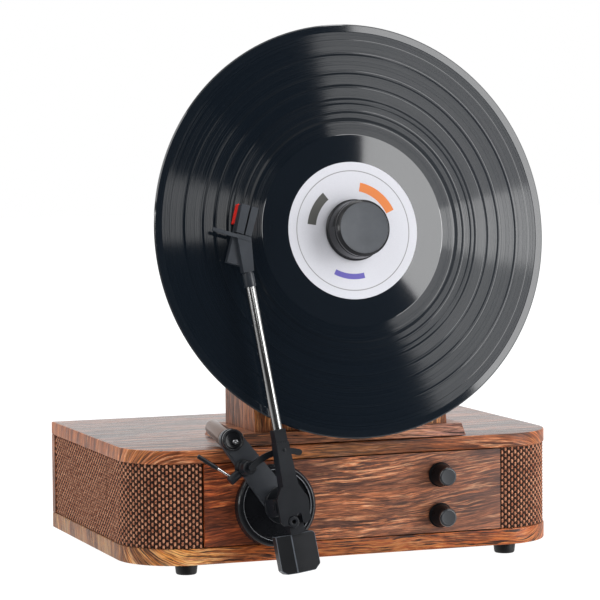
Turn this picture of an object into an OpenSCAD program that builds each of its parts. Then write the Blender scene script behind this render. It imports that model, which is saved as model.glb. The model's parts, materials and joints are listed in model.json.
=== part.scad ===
// Vertical record player. A wooden cabinet with a speaker at each end carries a
// leaning tower that holds the record upright. The tone arm stands on the front board.
// Origin: on the floor, under the centre of the cabinet. Front is -Y, up is +Z.

/* [Cabinet] */
// Width of the cabinet
base_w = 336; // [320:1:370]
// Depth of the cabinet
base_d = 220; // [205:1:250]
// Radius of the two front corners
corner_r = 45; // [36:1:50]
// Thickness of the bottom board
bottom_t = 12; // [8:0.5:16]
// Clear height between the bottom and top boards
panel_h = 61; // [60:1:75]
// Thickness of the top board
top_t = 10; // [7:0.5:16]
// Width of the front board, between the grilles
front_w = 233.4; // [215:0.2:240]
// Thickness of the front board
front_t = 9; // [6:0.5:12]
// Thickness of the back board
back_t = 7.5; // [5:0.5:12]
// Height of the rubber feet
foot_h = 8; // [5:0.5:12]
// Radius of a foot where it meets the cabinet
foot_r = 8.4; // [7:0.1:11]
// How much narrower a foot is at the floor
foot_taper = 0.9; // [0:0.1:2]
// Distance of a foot's centre from the cabinet's end
foot_in_x = 42.5; // [30:0.5:60]
// Distance of a foot's centre from the cabinet's front or back
foot_in_y = 14; // [11:0.5:30]
// Shank radius of the foot screws
foot_screw_r = 1.9; // [1.2:0.1:2.4]
// How deep a foot screw goes into the bottom board
foot_screw_grip = 9; // [5:0.5:11]

/* [Grilles and speakers] */
// How far the cloth lies behind the edges of the boards
cloth_in = 1.2; // [0.4:0.1:3]
// Thickness of the woven cloth
cloth_t = 0.8; // [0.5:0.1:1.5]
// Thickness of the bent board that the cloth is glued to
grille_t = 3; // [2:0.5:4]
// Height of that board's rims above and below its sound slots
grille_rim = 7; // [5:0.5:10]
// Width of a sound slot
slot_w = 4; // [2:0.5:6]
// Spacing of the sound slots
slot_pitch = 8; // [7:0.5:10]
// Distance of the speaker board's outer face from the cabinet's end
baffle_in = 12; // [10.5:0.5:16]
// Thickness of the speaker board
baffle_t = 8; // [6:0.5:10]
// Length of the speaker board from the back board forwards
baffle_l = 160; // [120:1:165]
// Outer radius of the speaker
speaker_r = 29.5; // [28:0.1:29.5]
// Radius of the hole that the speaker sits in
speaker_cut_r = 25; // [23:0.1:25.2]
// Thickness of the speaker's rim
speaker_rim_t = 2.5; // [1.5:0.1:3.5]
// Depth of the speaker's basket behind its rim
basket_deep = 18; // [14:0.5:24]
// Radius of the speaker's magnet
magnet_r = 19; // [15:0.5:22]
// Thickness of the speaker's magnet
magnet_t = 12; // [8:0.5:16]
// Shank radius of the speaker screws
speaker_screw_r = 1.2; // [0.8:0.1:1.3]

/* [Tower] */
// How far the record and the tower's front lean back, in degrees
tilt = 7.5; // [5:0.1:9]
// Width of the tower
tower_w = 150; // [140:1:170]
// Depth of the tower at its foot
tower_d = 66; // [62:0.5:90]
// How far the tower's foot stands behind the cabinet's front
tower_setback = 5.3; // [3:0.1:10]
// Thickness of the tower's front board
tower_front_t = 20; // [14:0.5:22]
// Thickness of the tower's sides
tower_side_t = 8; // [6:0.5:12]
// Thickness of the tower's back cover
tower_back_t = 6; // [4:0.5:8]
// Thickness of the tower's top
tower_top_t = 8; // [6:0.5:14]
// Distance along the tower's front from its foot to the platter's axis
axis_up = 142.4; // [142:0.1:150]
// How far the tower goes on above the platter's axis
tower_over = 70; // [40:1:85]
// Width of the plinth under the tower
plinth_w = 178; // [174:1:184]
// Height of the plinth
plinth_h = 10; // [6:0.5:14]
// How far each end of the plinth slopes in
plinth_slope = 3.6; // [0:0.1:6]
// How far the plinth's front stands behind the cabinet's front
plinth_setback = 1; // [0:0.1:3]
// How far the plinth goes on behind the tower
plinth_back = 8; // [4:0.5:20]
// Radius of the wire hole through the plinth and the top board
wire_r = 8; // [5:0.5:12]
// Shank radius of the back cover's screws
cover_screw_r = 1.5; // [1:0.1:2]

/* [Record and platter] */
// Radius of the record
record_r = 150.8; // [140:0.1:152]
// Thickness of the record
record_t = 2; // [1.4:0.1:3]
// Radius of the record's paper label
label_r = 50; // [40:0.5:55]
// Thickness of the label
label_t = 0.15; // [0.1:0.01:0.3]
// Radius of the spindle
spindle_r = 3.58; // [3:0.01:4]
// How far the spindle stands in front of the record
spindle_out = 12; // [9:0.5:14]
// Radius of the platter
platter_r = 90; // [88:0.5:110]
// Thickness of the platter's disc
platter_t = 5; // [3:0.5:8]
// Thickness of the mat
mat_t = 1.5; // [1:0.1:3]
// Radius of the belt rim behind the platter
rim_r = 65; // [58:0.5:68]
// Depth of the belt rim
rim_h = 10; // [9:0.5:14]
// Space between the belt rim and the bearing's flange
rim_gap = 2.1; // [0.5:0.1:4]
// Radius of the bearing's flange
flange_r = 15; // [12:0.5:20]
// Thickness of the bearing's flange
flange_t = 3; // [2:0.5:5]
// Radius of the bearing's barrel
barrel_r = 7.9; // [6:0.1:9]
// Length of the bearing's barrel
barrel_l = 24; // [16:0.5:26]
// Radius of the record clamp at its foot
clamp_r = 22.4; // [20:0.1:26]
// How far the record clamp stands in front of the record
clamp_h = 22.5; // [18:0.5:28]
// Thickness of the pad under the clamp
pad_t = 2; // [1:0.1:3]

/* [Drive] */
// Radius of the motor
motor_r = 17.5; // [14:0.5:19]
// Length of the motor behind the tower's face
motor_l = 26; // [20:0.5:28]
// Distance of the motor's axis below the platter's axis
motor_drop = 82; // [78:0.5:84]
// Radius of the motor's mounting flange
motor_flange_r = 25; // [24:0.5:27]
// Thickness of the motor's mounting flange
motor_flange_t = 1.5; // [1:0.1:2.5]
// Radius of the motor's shaft
shaft_r = 1; // [0.8:0.05:1.5]
// Radius of the motor's pulley
pulley_r = 5; // [4:0.1:6.5]
// Width of the drive belt
belt_w = 5; // [3:0.5:6]
// Thickness of the drive belt
belt_t = 0.8; // [0.5:0.1:1.5]

/* [Knobs] */
// Distance of both knobs to the right of the middle
knob_x = 66.8; // [50:0.1:85]
// Height of the upper knob's axis above the bottom board
volume_up = 43.8; // [38:0.1:46]
// Height of the lower knob's axis above the bottom board
selector_up = 13.6; // [12:0.1:18]
// Radius of a knob's foot ring
knob_ring_r = 9.2; // [8:0.1:11]
// Radius of a knob's grip
knob_r = 7.2; // [6:0.1:7.8]
// Length of a knob
knob_l = 17; // [13:0.1:20]
// Radius of a knob's shaft
knob_shaft_r = 3; // [2:0.1:3.2]
// Radius of the control behind a knob
control_r = 8.5; // [7:0.5:10]
// Depth of the control behind the front board
control_l = 9; // [8:0.5:14]

/* [Tone arm stand] */
// Sideways place of the arm's swivel axis
arm_x = -63; // [-68:0.1:-58]
// Distance of the swivel axis below the cabinet's top, where it leaves the front board
arm_down = 42.7; // [41:0.1:44]
// Radius of the round arm base
arm_base_r = 30; // [24:0.5:31]
// Thickness of the arm base on its axis
arm_base_t = 8.2; // [6:0.1:10]
// Width of the arm base's raised rim
arm_rim_w = 5.5; // [3:0.1:8]
// Depth of the dish inside that rim
dish_deep = 2.5; // [1:0.1:3.5]
// Radius of the arm base's middle hub
hub_r = 6.5; // [5.5:0.1:7.5]
// Radius of the yoke's hub
yoke_hub_r = 8; // [6:0.1:10]
// Radius of the swivel shaft
swivel_r = 3; // [2:0.1:4]
// Thickness of the bracket plate
bracket_t = 4; // [2.5:0.1:5]
// Width of the bracket plate
bracket_w = 19.4; // [19:0.1:22]
// Distance from the swivel axis to the bracket's far end post
bracket_l = 61.3; // [56:0.1:66]
// Lean of the bracket to the left, in degrees
bracket_angle = 37.5; // [34:0.1:40]
// Length of the arm post behind the bracket
post_l = 39; // [25:0.5:45]
// Radius of the arm post at the bracket
post_r = 7.5; // [5:0.1:7.8]
// Radius of the arm post at its far end
post_tip_r = 5.6; // [4:0.1:6]
// How far the arm post rises towards the back, in degrees
post_rise = 8; // [6:0.5:14]
// Distance from the swivel axis to the curved lift bar
bar_r = 38.5; // [34:0.1:42]
// Width of the lift bar
bar_w = 4.4; // [3:0.1:6]
// Thickness of the lift bar
bar_t = 3; // [2:0.1:3.5]
// How far the lift bar reaches to the right of upright, in degrees
bar_reach = 15; // [10:1:20]
// Radius of the lifter's barrel on the bracket
lifter_r = 5; // [4:0.1:5.5]
// Radius of the lift bar's post
lift_post_r = 2; // [1.5:0.1:2.5]
// Radius of the cue lever's shaft
cue_r = 1.6; // [1.2:0.1:2]
// Length of the cue lever's rod
cue_l = 27.8; // [20:0.1:36]
// Lean of the cue lever's rod away from the bracket, in degrees
cue_lean = 18.7; // [5:0.1:25]
// Length of the grip on the cue lever
grip_l = 19; // [10:0.5:22]

/* [Tone arm] */
// Lean of the arm to the left, in degrees
arm_angle = 8.25; // [6:0.05:11]
// Height of the arm tube's axis above the record
tube_up = 13; // [12.5:0.1:15]
// Radius of the arm tube
tube_r = 3.4; // [2.5:0.1:3.6]
// Wall of the arm tube
tube_wall = 0.5; // [0.3:0.1:1]
// Distance from the swivel axis to the far end of the sleeve
sleeve_end = 54.5; // [48:0.1:60]
// Width of the sleeve at the housing
sleeve_w = 11.6; // [10.5:0.1:13]
// Width of the sleeve at the tube
sleeve_tip_w = 8.6; // [8.2:0.1:10]
// Depth of the sleeve
sleeve_t = 11; // [10:0.1:11.4]
// Distance from the swivel axis to the housing's front end
housing_end = 14; // [12:0.1:18]
// Half the width of the housing's cover
housing_half = 11.6; // [11:0.1:13]
// Length of the housing's cover behind the swivel axis
housing_back = 13.6; // [12.5:0.1:15]
// Thickness of the housing's cover
cover_t = 2.6; // [1.8:0.1:3]
// Half the width of the housing's block between the yoke's cheeks
block_half = 9.9; // [8:0.1:10]
// Thickness of the yoke's cheeks
cheek_t = 2.5; // [1.5:0.1:3]
// Height of the arm's lift axis above the record
lift_up = 10; // [9:0.1:10.5]
// Radius of the lift pivot pins
pin_r = 1.5; // [1:0.1:2]
// Distance from the swivel axis to the tube's end in the head
tube_end = 161.5; // [160:0.1:163]
// Distance from the swivel axis to the head's cross bar
head_s = 195.1; // [193:0.1:197]
// Sideways place of the head's cross bar
head_l = 1.35; // [0:0.05:2]
// Turn of the head against the arm, in degrees
head_offset = 25; // [20:0.1:28]
// Width of the head
head_w = 13; // [11:0.1:16]
// Length of the head in front of the cross bar
head_fore = 21.5; // [18:0.1:22.5]
// Length of the head behind the cross bar
head_aft = 22; // [18:0.1:24]
// Reach of the finger lift to the left of the head's middle
finger_l = 23; // [15:0.1:28]
// Space between the stylus tip and the record
tip_gap = 0.3; // [0.2:0.05:0.6]
// Width of the counterweight
weight_w = 27; // [22:0.1:30]
// Length of the counterweight
weight_l = 28; // [22:0.1:28.5]
// Depth of the counterweight
weight_t = 16; // [12:0.1:20]
// Distance from the swivel axis back to the counterweight
weight_back = 20.5; // [19.5:0.1:21]
// Chamfer of the counterweight's corners
weight_cut = 3.4; // [1:0.1:5]

/* [Electronics] */
// Width of the amplifier board
board_w = 110; // [80:1:130]
// Depth of the amplifier board
board_d = 70; // [50:1:80]
// Height of the standoffs under the amplifier board
standoff_h = 8; // [4:0.5:12]
// Width of the rear jack plate
jack_plate_w = 90; // [80:1:120]
// Height of the rear jack plate
jack_plate_h = 34; // [26:1:44]
// Thickness of the rear jack plate
jack_plate_t = 2; // [1:0.1:3]
// Radius of a phono jack's barrel
phono_r = 4.15; // [4.1:0.01:4.2]
// Length of a phono jack's free barrel
phono_l = 9; // [7:0.5:12]
// Spacing of the two phono jacks
phono_pitch = 18; // [15:0.5:24]
// Distance of the power inlet from the middle
inlet_x = 26; // [18:0.5:34]
// Radius of the power inlet's socket
inlet_r = 2.9; // [2.5:0.05:3.2]

/* [Fits] */
// Radial clearance of everything that turns or slides in a bore
run_fit = 0.05; // [0.02:0.01:0.09]
// Clearance of pieces that are pushed or glued together
seat_fit = 0.02; // [0.01:0.01:0.05]
// Gap between pieces that pass each other
pass_gap = 0.3; // [0.25:0.05:0.6]
// Gap around boards and grilles
seam = 0.2; // [0.1:0.05:0.5]

/* [Hidden] */
$fn = 64;

// Colours
wood = "#8a4f2d";
wood_dark = "#6f3c22";
board_brown = "#a98a62";
black = "#1b1b1d";
dark = "#2c2d30";
steel = "#c9cbce";
brass = "#b8943f";
red = "#c02a22";
cloth_brown = "#7a4a33";
mat_grey = "#3a3a3c";
vinyl = "#141518";
paper = "#e9e9ea";
board_green = "#2f6b3c";

// Levels and faces of the cabinet
z_floor = foot_h + bottom_t;
z_ceil = z_floor + panel_h;
z_top = z_ceil + top_t;
z_mid = z_floor + panel_h / 2;
y_front = -base_d / 2;
y_back = base_d / 2;
y_inner = y_back - back_t;

// Feet and their screws
foot_head_r = foot_screw_r * 2;
foot_head_t = 2.4;
foot_head_in = 3;

// Grilles and speakers
frame_in = cloth_in + cloth_t + seam / 2;
slot_steps = floor(speaker_cut_r / slot_pitch);
baffle_x = base_w / 2 - baffle_in;
speaker_y = y_inner - baffle_l / 2;
speaker_hole_r = speaker_r - 2.3;
basket_wall = 1.6;
basket_r = speaker_cut_r - 0.4;
cone_rim_r = basket_r - basket_wall - seam;
cone_neck_r = cone_rim_r * 0.36;
basket_floor_r = magnet_r - 4.5;
cone_t = 1;
dome_up = 2;
speaker_screw_head = 1.6;

// Tower
z_foot = z_top + plinth_h;
y_tower = y_front + tower_setback;
y_tower_back = y_tower + tower_d;
tower_run = tower_front_t / cos(tilt);
tower_h = (axis_up + tower_over) * cos(tilt);
z_cap = z_foot + tower_h;
cap_lean = tower_h * tan(tilt);
wire_y = (y_tower + tower_run + y_tower_back - tower_back_t) / 2;
cover_head_r = cover_screw_r * 2;
cover_head_t = 1.4;
cover_screw_l = 16;
cover_screw_in = 22;

// Levels along the platter's axis, counted from the record's front face
h_record = -record_t;
h_mat = h_record - mat_t;
h_platter = h_mat - platter_t;
h_rim = h_platter - rim_h;
h_face = h_rim - rim_gap - flange_t;
deck_y = y_tower + axis_up * sin(tilt) + h_face * cos(tilt);
deck_z = z_foot + axis_up * cos(tilt) - h_face * sin(tilt);
hole_r = spindle_r + 0.07;
bearing_bore = barrel_l - 2;
pad_z = label_t + 0.2;
spindle_tip = 2;
spindle_taper = 1.4;
clamp_lip = 2.2;
clamp_step = 1.2;
clamp_in = 1;
clamp_taper = 1.8;
clamp_edge = 3;
clamp_round = 4;

// Drive
pulley_low = h_face + motor_flange_t + 1.5;
pulley_high = h_platter - 2;
belt_low = h_rim + pass_gap;
rotor_deep = 12;
motor_screw_r = 1.3;
motor_screw_at = (motor_r + motor_flange_r) / 2 + 0.4;
motor_screw_l = 12;
motor_head_r = motor_screw_r * 1.7;
motor_head_t = 1.1;
motor_gap = 0.5;

// Swivel axis in the plane of the record, and the level of the front board on it
arm_z = z_top - arm_down;
arm_v = (y_front - deck_y) * sin(tilt) + (arm_z - deck_z) * cos(tilt);
arm_h = (deck_y - y_front) * cos(tilt) + (arm_z - deck_z) * sin(tilt);
disc_up = arm_h + arm_base_t;
bracket_up = disc_up + bracket_t;
hub_up = bracket_up + 1;
swivel_deep = 11;
bracket_mid = 1.3;
arm_edge = 1.8;
dish_edge = 1.2;
post_in = 4;
arm_screw_r = 1.5;
arm_screw_ring = 16;
arm_screw_head = 1.5;
arm_screw_grip = arm_base_t - dish_deep - arm_screw_ring * tan(tilt) / 2 - 1;

// Yoke and housing
yoke_floor = hub_up + pass_gap;
yoke_plate = yoke_floor + 3.4;
yoke_up = yoke_plate + 3;
cheek_in = block_half + 0.4;
cheek_out = cheek_in + cheek_t;
yoke_half = 8;
cheek_half = 5.5;
cheek_top_r = 4;
cover_low = lift_up + cheek_top_r + 1.2;
cover_up = cover_low + cover_t;
block_low = lift_up - 7;
pin_in = block_half - 3.7;
pin_depth = pin_in - pass_gap;
pin_head_r = pin_r + 0.9;
pin_head_t = 0.8;
cover_neck = housing_half - 4.6;
cover_wide = 4;
cover_tail = housing_back - 1.6;
cover_taper = housing_half - 0.6;
cover_end = housing_half - 3.6;
block_l = 6.5;
link_at = housing_back - 2;
link_r = 4.2;

// Sleeve, tube and head
sleeve_low = tube_up - sleeve_t / 2 - 0.3;
sleeve_bore = 10;
tube_start = sleeve_end - sleeve_bore + pass_gap;
collar_r = tube_r + 0.75;
collar_start = tube_end - 4;
collar_end = tube_end + 6.5;
carrier_low = tube_up - 4.8;
carrier_up = tube_up + 0.6;
neck_half = collar_r - 0.4;
neck_low = tube_up - 3.8;
neck_up = tube_up + 3;
finger_up = neck_up + 0.6;
neck_in = 1.5;
neck_right = 3;
neck_left = 2.5;
fore_up = neck_up - 0.4;
finger_aft = 1.8;
slit_half = 0.4;
slit_low = neck_up - 1.4;
slit_from = 1.4;
slit_to = head_fore - 0.8;
cart_low = carrier_low - 3.6;
stylus_low = cart_low - 2.6;
stylus_half = head_w / 2 - 2.4;
stylus_from = 7;
stylus_to = head_fore + 1.5;
tip_at = head_fore - 5.5;
tip_r = 0.15;
tip_root_r = 0.9;

// Counterweight
weight_up = cover_low - 3.2;
weight_low = weight_up - weight_t;
weight_step = 1.5;
link_half = 5.5;
link_low = weight_up - 6;
link_fore = 3 - link_at;
link_hole_r = 1.3;
link_hole_l = 5;

// Lift bar and cue lever
bar_up = sleeve_low - 0.5;
bar_low = bar_up - bar_t;
lifter_up = bar_low - pass_gap;
lifter_turn = 5.8;
lifter_x = -bar_r * sin(lifter_turn);
lifter_y = bar_r * cos(lifter_turn);
cue_up = bracket_up + 4.5;
cue_block_r = 3.3;
cue_block_in = bracket_mid - bracket_w / 2 - 1.6;
cue_block_out = cue_block_in - 9;
cue_rod_r = 0.9;
grip_r = 1.6;

// Knobs and their controls
volume_z = z_floor + volume_up;
selector_z = z_floor + selector_up;
front_gap = 0.5;
bush_r = knob_shaft_r + 0.6;
knob_bore = knob_l - 5;
control_wall = 2;
knob_edge = 0.8;
knob_ring_t = 2.4;
knob_foot_h = 4;
knob_taper = 0.4;

// Electronics
board_t = 1.6;
board_gap = 24;
board_y = y_inner - board_gap - board_d;
board_edge = 5;
standoff_r = 3;
sink_t = 10;
sink_h = 22;
can_r = 5;
can_h = 13;
can_pitch = 20;
jack_hole_r = 6.6;
jack_body_r = 5.4;
jack_lip_r = 6;
jack_lip_t = 1.5;
jack_deep = 8;
phono_bore_r = 1.6;
inlet_deep = 10;
inlet_pin_r = 1;
phono_mid = -25;
jack_places = [phono_mid - phono_pitch / 2, phono_mid + phono_pitch / 2, inlet_x];

// The platter's axis: x to the right, y up along the record, z out of its front
module deck() {
    translate([0, deck_y, deck_z])
        rotate([90 - tilt, 0, 0])
            children();
}

// The arm's swivel axis, with z counted from the record's front
module swivel() {
    deck() translate([arm_x, arm_v, 0]) children();
}

// The arm itself: y runs from the swivel axis to the head
module arm_line() {
    swivel() rotate([0, 0, arm_angle]) children();
}

// The bracket: y runs from the swivel axis to the post
module bracket_line() {
    swivel() rotate([0, 0, bracket_angle]) children();
}

// The head: y runs along the cartridge from the cross bar forwards
module head_line() {
    arm_line()
        translate([head_l, head_s, 0])
            rotate([0, 0, -head_offset])
                children();
}

// A speaker's axis, with z out of the cabinet's end
module speaker_line(side) {
    translate([side * baffle_x, speaker_y, z_mid])
        rotate([0, side * 90, 0])
            children();
}

// A knob's axis, with z out of the front board
module knob_line(z) {
    translate([knob_x, y_front, z])
        rotate([90, 0, 0])
            children();
}

// A rear jack's axis, with z out of the back board
module jack_line(x) {
    translate([x, y_back, z_mid])
        rotate([-90, 0, 0])
            children();
}

// The motor's axis, along the platter's axis
module motor_line() {
    deck() translate([0, -motor_drop, 0]) children();
}

// A box given by two opposite corners
module block(low, high) {
    translate(low) cube(high - low);
}

// A flat outline made into a plate between two levels
module plate(low, high) {
    translate([0, 0, low])
        linear_extrude(high - low)
            children();
}

// A round bar along x between two places
module bar_x(r, from, to) {
    translate([from, 0, 0])
        rotate([0, 90, 0])
            cylinder(r = r, h = to - from);
}

// A round bar along y between two places
module bar_y(r, from, to) {
    translate([0, from, 0])
        rotate([-90, 0, 0])
            cylinder(r = r, h = to - from);
}

// A round bar along z between two levels
module bar_z(r, low, high) {
    translate([0, 0, low]) cylinder(r = r, h = high - low);
}

// A screw whose head sits on z = 0 and whose shank goes down
module screw(r, head_r, head_t, l) {
    bar_z(head_r, 0, head_t);
    bar_z(r, -l, 0);
}

// Outline of the cabinet, with round front corners, drawn in by an inset
module footprint(inset = 0) {
    half = base_w / 2 - inset;
    r = corner_r - inset;
    front = y_front + inset;
    translate([-half, front + r]) square([2 * half, y_back - front - r]);
    translate([r - half, front]) square([2 * (half - r), r + 1]);
    for (side = [-1, 1])
        translate([side * (half - r), front + r]) circle(r, $fn = 128);
}

// Children at each of the four feet
module at_feet() {
    for (x = [-1, 1], y = [-1, 1])
        translate([x * (base_w / 2 - foot_in_x), y * (base_d / 2 - foot_in_y), 0])
            children();
}

// Children at each of a speaker's four screws
module at_speaker_screws(side) {
    speaker_line(side)
        for (turn = [45:90:315])
            rotate([0, 0, turn])
                translate([speaker_hole_r, 0, 0])
                    children();
}

// Children at each of the arm base's screws, on the front board's face, with z outwards
module at_arm_screws() {
    for (turn = [30:120:270])
        translate([arm_x + arm_screw_ring * cos(turn), y_front,
                   arm_z + arm_screw_ring * sin(turn)])
            rotate([90, 0, 0])
                children();
}

// Children at each of the motor's screws
module at_motor_screws() {
    motor_line()
        for (turn = [0:120:240])
            rotate([0, 0, turn])
                translate([motor_screw_at, 0, 0])
                    children();
}

// Children at each screw of the tower's back cover, with z out of the back
module at_cover_screws() {
    for (x = [-1, 1], z = [z_foot + cover_screw_in, z_cap - cover_screw_in])
        translate([x * (tower_w - tower_side_t) / 2, y_tower_back, z])
            rotate([-90, 0, 0])
                children();
}

// Cabinet boards
module bottom_board() {
    color(wood)
        difference() {
            plate(foot_h, z_floor) footprint();
            at_feet() bar_z(foot_screw_r + seat_fit, foot_h - 1, foot_h + foot_screw_grip + 1);
        }
}

module top_board() {
    color(wood)
        difference() {
            plate(z_ceil, z_top) footprint();
            translate([0, wire_y, 0]) bar_z(wire_r, z_ceil - 1, z_top + 1);
        }
}

module front_board() {
    color(wood)
        difference() {
            block([-front_w / 2, y_front, z_floor],
                  [front_w / 2, y_front + front_t, z_ceil]);
            for (z = [volume_z, selector_z])
                knob_line(z) bar_z(bush_r + seam / 2, -front_t - 1, 1);
            at_arm_screws() bar_z(arm_screw_r + seat_fit, -front_t - 1, 1);
        }
}

module back_board() {
    color(wood)
        difference() {
            block([-base_w / 2, y_inner, z_floor], [base_w / 2, y_back, z_ceil]);
            for (x = jack_places)
                jack_line(x) bar_z(jack_hole_r, -back_t - 1, 1);
        }
}

// Grilles: a bent strip that runs from the front board round the corner to the back board
module grille_strip(inset, t) {
    intersection() {
        difference() {
            footprint(inset);
            footprint(inset + t);
        }
        translate([-base_w, y_front])
            square([base_w - front_w / 2 - seam, base_d - back_t - seam]);
    }
}

// Bent board behind the cloth, with upright sound slots in front of the speaker
module grille_frame() {
    difference() {
        plate(z_floor, z_ceil) grille_strip(frame_in, grille_t);
        for (i = [-slot_steps:slot_steps])
            translate([0, speaker_y + i * slot_pitch, 0])
                block([-base_w, -slot_w / 2, z_floor + grille_rim],
                      [-baffle_x, slot_w / 2, z_ceil - grille_rim]);
    }
}

module grille_cloth() {
    plate(z_floor + seam, z_ceil - seam) grille_strip(cloth_in, cloth_t);
}

module left_grille_frame() {
    color(dark) grille_frame();
}

module right_grille_frame() {
    color(dark) mirror([1, 0, 0]) grille_frame();
}

module left_grille_cloth() {
    color(cloth_brown) grille_cloth();
}

module right_grille_cloth() {
    color(cloth_brown) mirror([1, 0, 0]) grille_cloth();
}

// Speaker boards and speakers
module baffle(side) {
    face = side * baffle_x;
    inner = side * (baffle_x - baffle_t);
    difference() {
        block([min(face, inner), y_inner - baffle_l, z_floor],
              [max(face, inner), y_inner, z_ceil]);
        speaker_line(side) bar_z(speaker_cut_r, -baffle_t - 1, 1);
        at_speaker_screws(side) bar_z(speaker_screw_r + seat_fit, -baffle_t - 1, 1);
    }
}

module left_baffle() {
    color(board_brown) baffle(-1);
}

module right_baffle() {
    color(board_brown) baffle(1);
}

module speaker_basket(side) {
    throat = basket_r - basket_wall;
    difference() {
        speaker_line(side)
            rotate_extrude()
                polygon([[speaker_r, 0], [speaker_r, speaker_rim_t], [throat, speaker_rim_t],
                         [throat, 0], [basket_floor_r - basket_wall, basket_wall - basket_deep],
                         [0, basket_wall - basket_deep], [0, -basket_deep],
                         [basket_floor_r, -basket_deep], [basket_r, 0]]);
        at_speaker_screws(side) bar_z(speaker_screw_r + seat_fit, -1, speaker_rim_t + 1);
    }
    speaker_line(side) bar_z(magnet_r, -basket_deep - magnet_t, -basket_deep);
}

module speaker_cone(side) {
    lip = speaker_rim_t * 0.6;
    deep = basket_deep / 2;
    roll = cone_rim_r * 0.88;
    speaker_line(side)
        rotate_extrude()
            polygon([[cone_rim_r, lip - cone_t], [cone_rim_r, lip], [roll, lip],
                     [cone_neck_r, cone_t - deep], [cone_neck_r / 2, dome_up + cone_t - deep],
                     [0, dome_up + 1.4 * cone_t - deep], [0, dome_up + 0.4 * cone_t - deep],
                     [cone_neck_r / 2, dome_up - deep], [cone_neck_r, -deep], [roll, lip - cone_t]]);
}

module left_speaker_basket() {
    color(dark) speaker_basket(-1);
}

module right_speaker_basket() {
    color(dark) speaker_basket(1);
}

module left_speaker_cone() {
    color(black) speaker_cone(-1);
}

module right_speaker_cone() {
    color(black) speaker_cone(1);
}

module speaker_screws() {
    color(steel)
        for (side = [-1, 1])
            at_speaker_screws(side)
                translate([0, 0, speaker_rim_t])
                    screw(speaker_screw_r, speaker_screw_r * 1.6, speaker_screw_head,
                          speaker_rim_t + baffle_t - 1);
}

// Feet
module feet() {
    color(black)
        at_feet()
            difference() {
                cylinder(r1 = foot_r - foot_taper, r2 = foot_r, h = foot_h);
                bar_z(foot_head_r + pass_gap, -1, foot_head_in);
                bar_z(foot_screw_r + seat_fit, 0, foot_h + 1);
            }
}

module foot_screws() {
    color(steel)
        at_feet()
            translate([0, 0, foot_head_in])
                mirror([0, 0, 1])
                    screw(foot_screw_r, foot_head_r, foot_head_t,
                          foot_h - foot_head_in + foot_screw_grip);
}

// Tower
module side_view(from, to) {
    translate([from, 0, 0])
        rotate([90, 0, 90])
            linear_extrude(to - from)
                children();
}

module plinth() {
    half = plinth_w / 2;
    front = y_front + plinth_setback;
    color(wood)
        difference() {
            translate([0, y_tower_back + plinth_back, 0])
                rotate([90, 0, 0])
                    linear_extrude(y_tower_back + plinth_back - front)
                        polygon([[-half, z_top], [half, z_top],
                                 [half - plinth_slope, z_foot], [plinth_slope - half, z_foot]]);
            translate([0, wire_y, 0]) bar_z(wire_r, z_top - 1, z_foot + 1);
        }
}

module tower_front() {
    color(wood)
        difference() {
            side_view(-tower_w / 2, tower_w / 2)
                polygon([[y_tower, z_foot], [y_tower + tower_run, z_foot],
                         [y_tower + tower_run + cap_lean, z_cap], [y_tower + cap_lean, z_cap]]);
            deck() bar_z(barrel_r + seam / 2, h_face - tower_front_t - 1, h_face + 1);
            motor_line() bar_z(motor_r + motor_gap, h_face - tower_front_t - 1, h_face + 1);
            at_motor_screws() bar_z(motor_screw_r + seat_fit, h_face - motor_screw_l, h_face + 1);
        }
}

module tower_side(from, to) {
    difference() {
        side_view(from, to)
            polygon([[y_tower + tower_run, z_foot], [y_tower_back - tower_back_t, z_foot],
                     [y_tower_back - tower_back_t, z_cap],
                     [y_tower + tower_run + cap_lean, z_cap]]);
        at_cover_screws() bar_z(cover_screw_r + seat_fit, -cover_screw_l, 0);
    }
}

module tower_left() {
    color(wood_dark) tower_side(-tower_w / 2, tower_side_t - tower_w / 2);
}

module tower_right() {
    color(wood_dark) tower_side(tower_w / 2 - tower_side_t, tower_w / 2);
}

module tower_top() {
    color(wood)
        side_view(-tower_w / 2, tower_w / 2)
            polygon([[y_tower + cap_lean, z_cap], [y_tower_back, z_cap],
                     [y_tower_back, z_cap + tower_top_t],
                     [y_tower + cap_lean + tower_top_t * tan(tilt), z_cap + tower_top_t]]);
}

module tower_back() {
    color(wood_dark)
        difference() {
            block([-tower_w / 2, y_tower_back - tower_back_t, z_foot],
                  [tower_w / 2, y_tower_back, z_cap]);
            at_cover_screws() bar_z(cover_screw_r + seat_fit, -tower_back_t - 1, 1);
        }
}

module cover_screws() {
    color(steel)
        at_cover_screws()
            screw(cover_screw_r, cover_head_r, cover_head_t, cover_screw_l - 1);
}

// Bearing, spindle and drive
module spindle_bearing() {
    color(brass)
        deck()
            difference() {
                union() {
                    bar_z(flange_r, h_face, h_face + flange_t);
                    bar_z(barrel_r, h_face - barrel_l, h_face + 1);
                }
                bar_z(spindle_r + run_fit, h_face - bearing_bore, h_face + flange_t + 1);
            }
}

module motor() {
    color(steel)
        difference() {
            motor_line()
                difference() {
                    union() {
                        bar_z(motor_r, h_face - motor_l, h_face + motor_flange_t);
                        bar_z(motor_flange_r, h_face, h_face + motor_flange_t);
                    }
                    bar_z(shaft_r + run_fit, h_face - rotor_deep - pass_gap,
                          h_face + motor_flange_t + 1);
                }
            at_motor_screws() bar_z(motor_screw_r + seat_fit, h_face - 1, h_face + motor_flange_t + 1);
        }
}

module motor_screws() {
    color(steel)
        at_motor_screws()
            translate([0, 0, h_face + motor_flange_t])
                screw(motor_screw_r, motor_head_r, motor_head_t, motor_screw_l);
}

module motor_pulley() {
    color(brass)
        motor_line() {
            bar_z(shaft_r, h_face - rotor_deep, pulley_low + 1);
            bar_z(pulley_r, pulley_low, pulley_high);
        }
}

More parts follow.
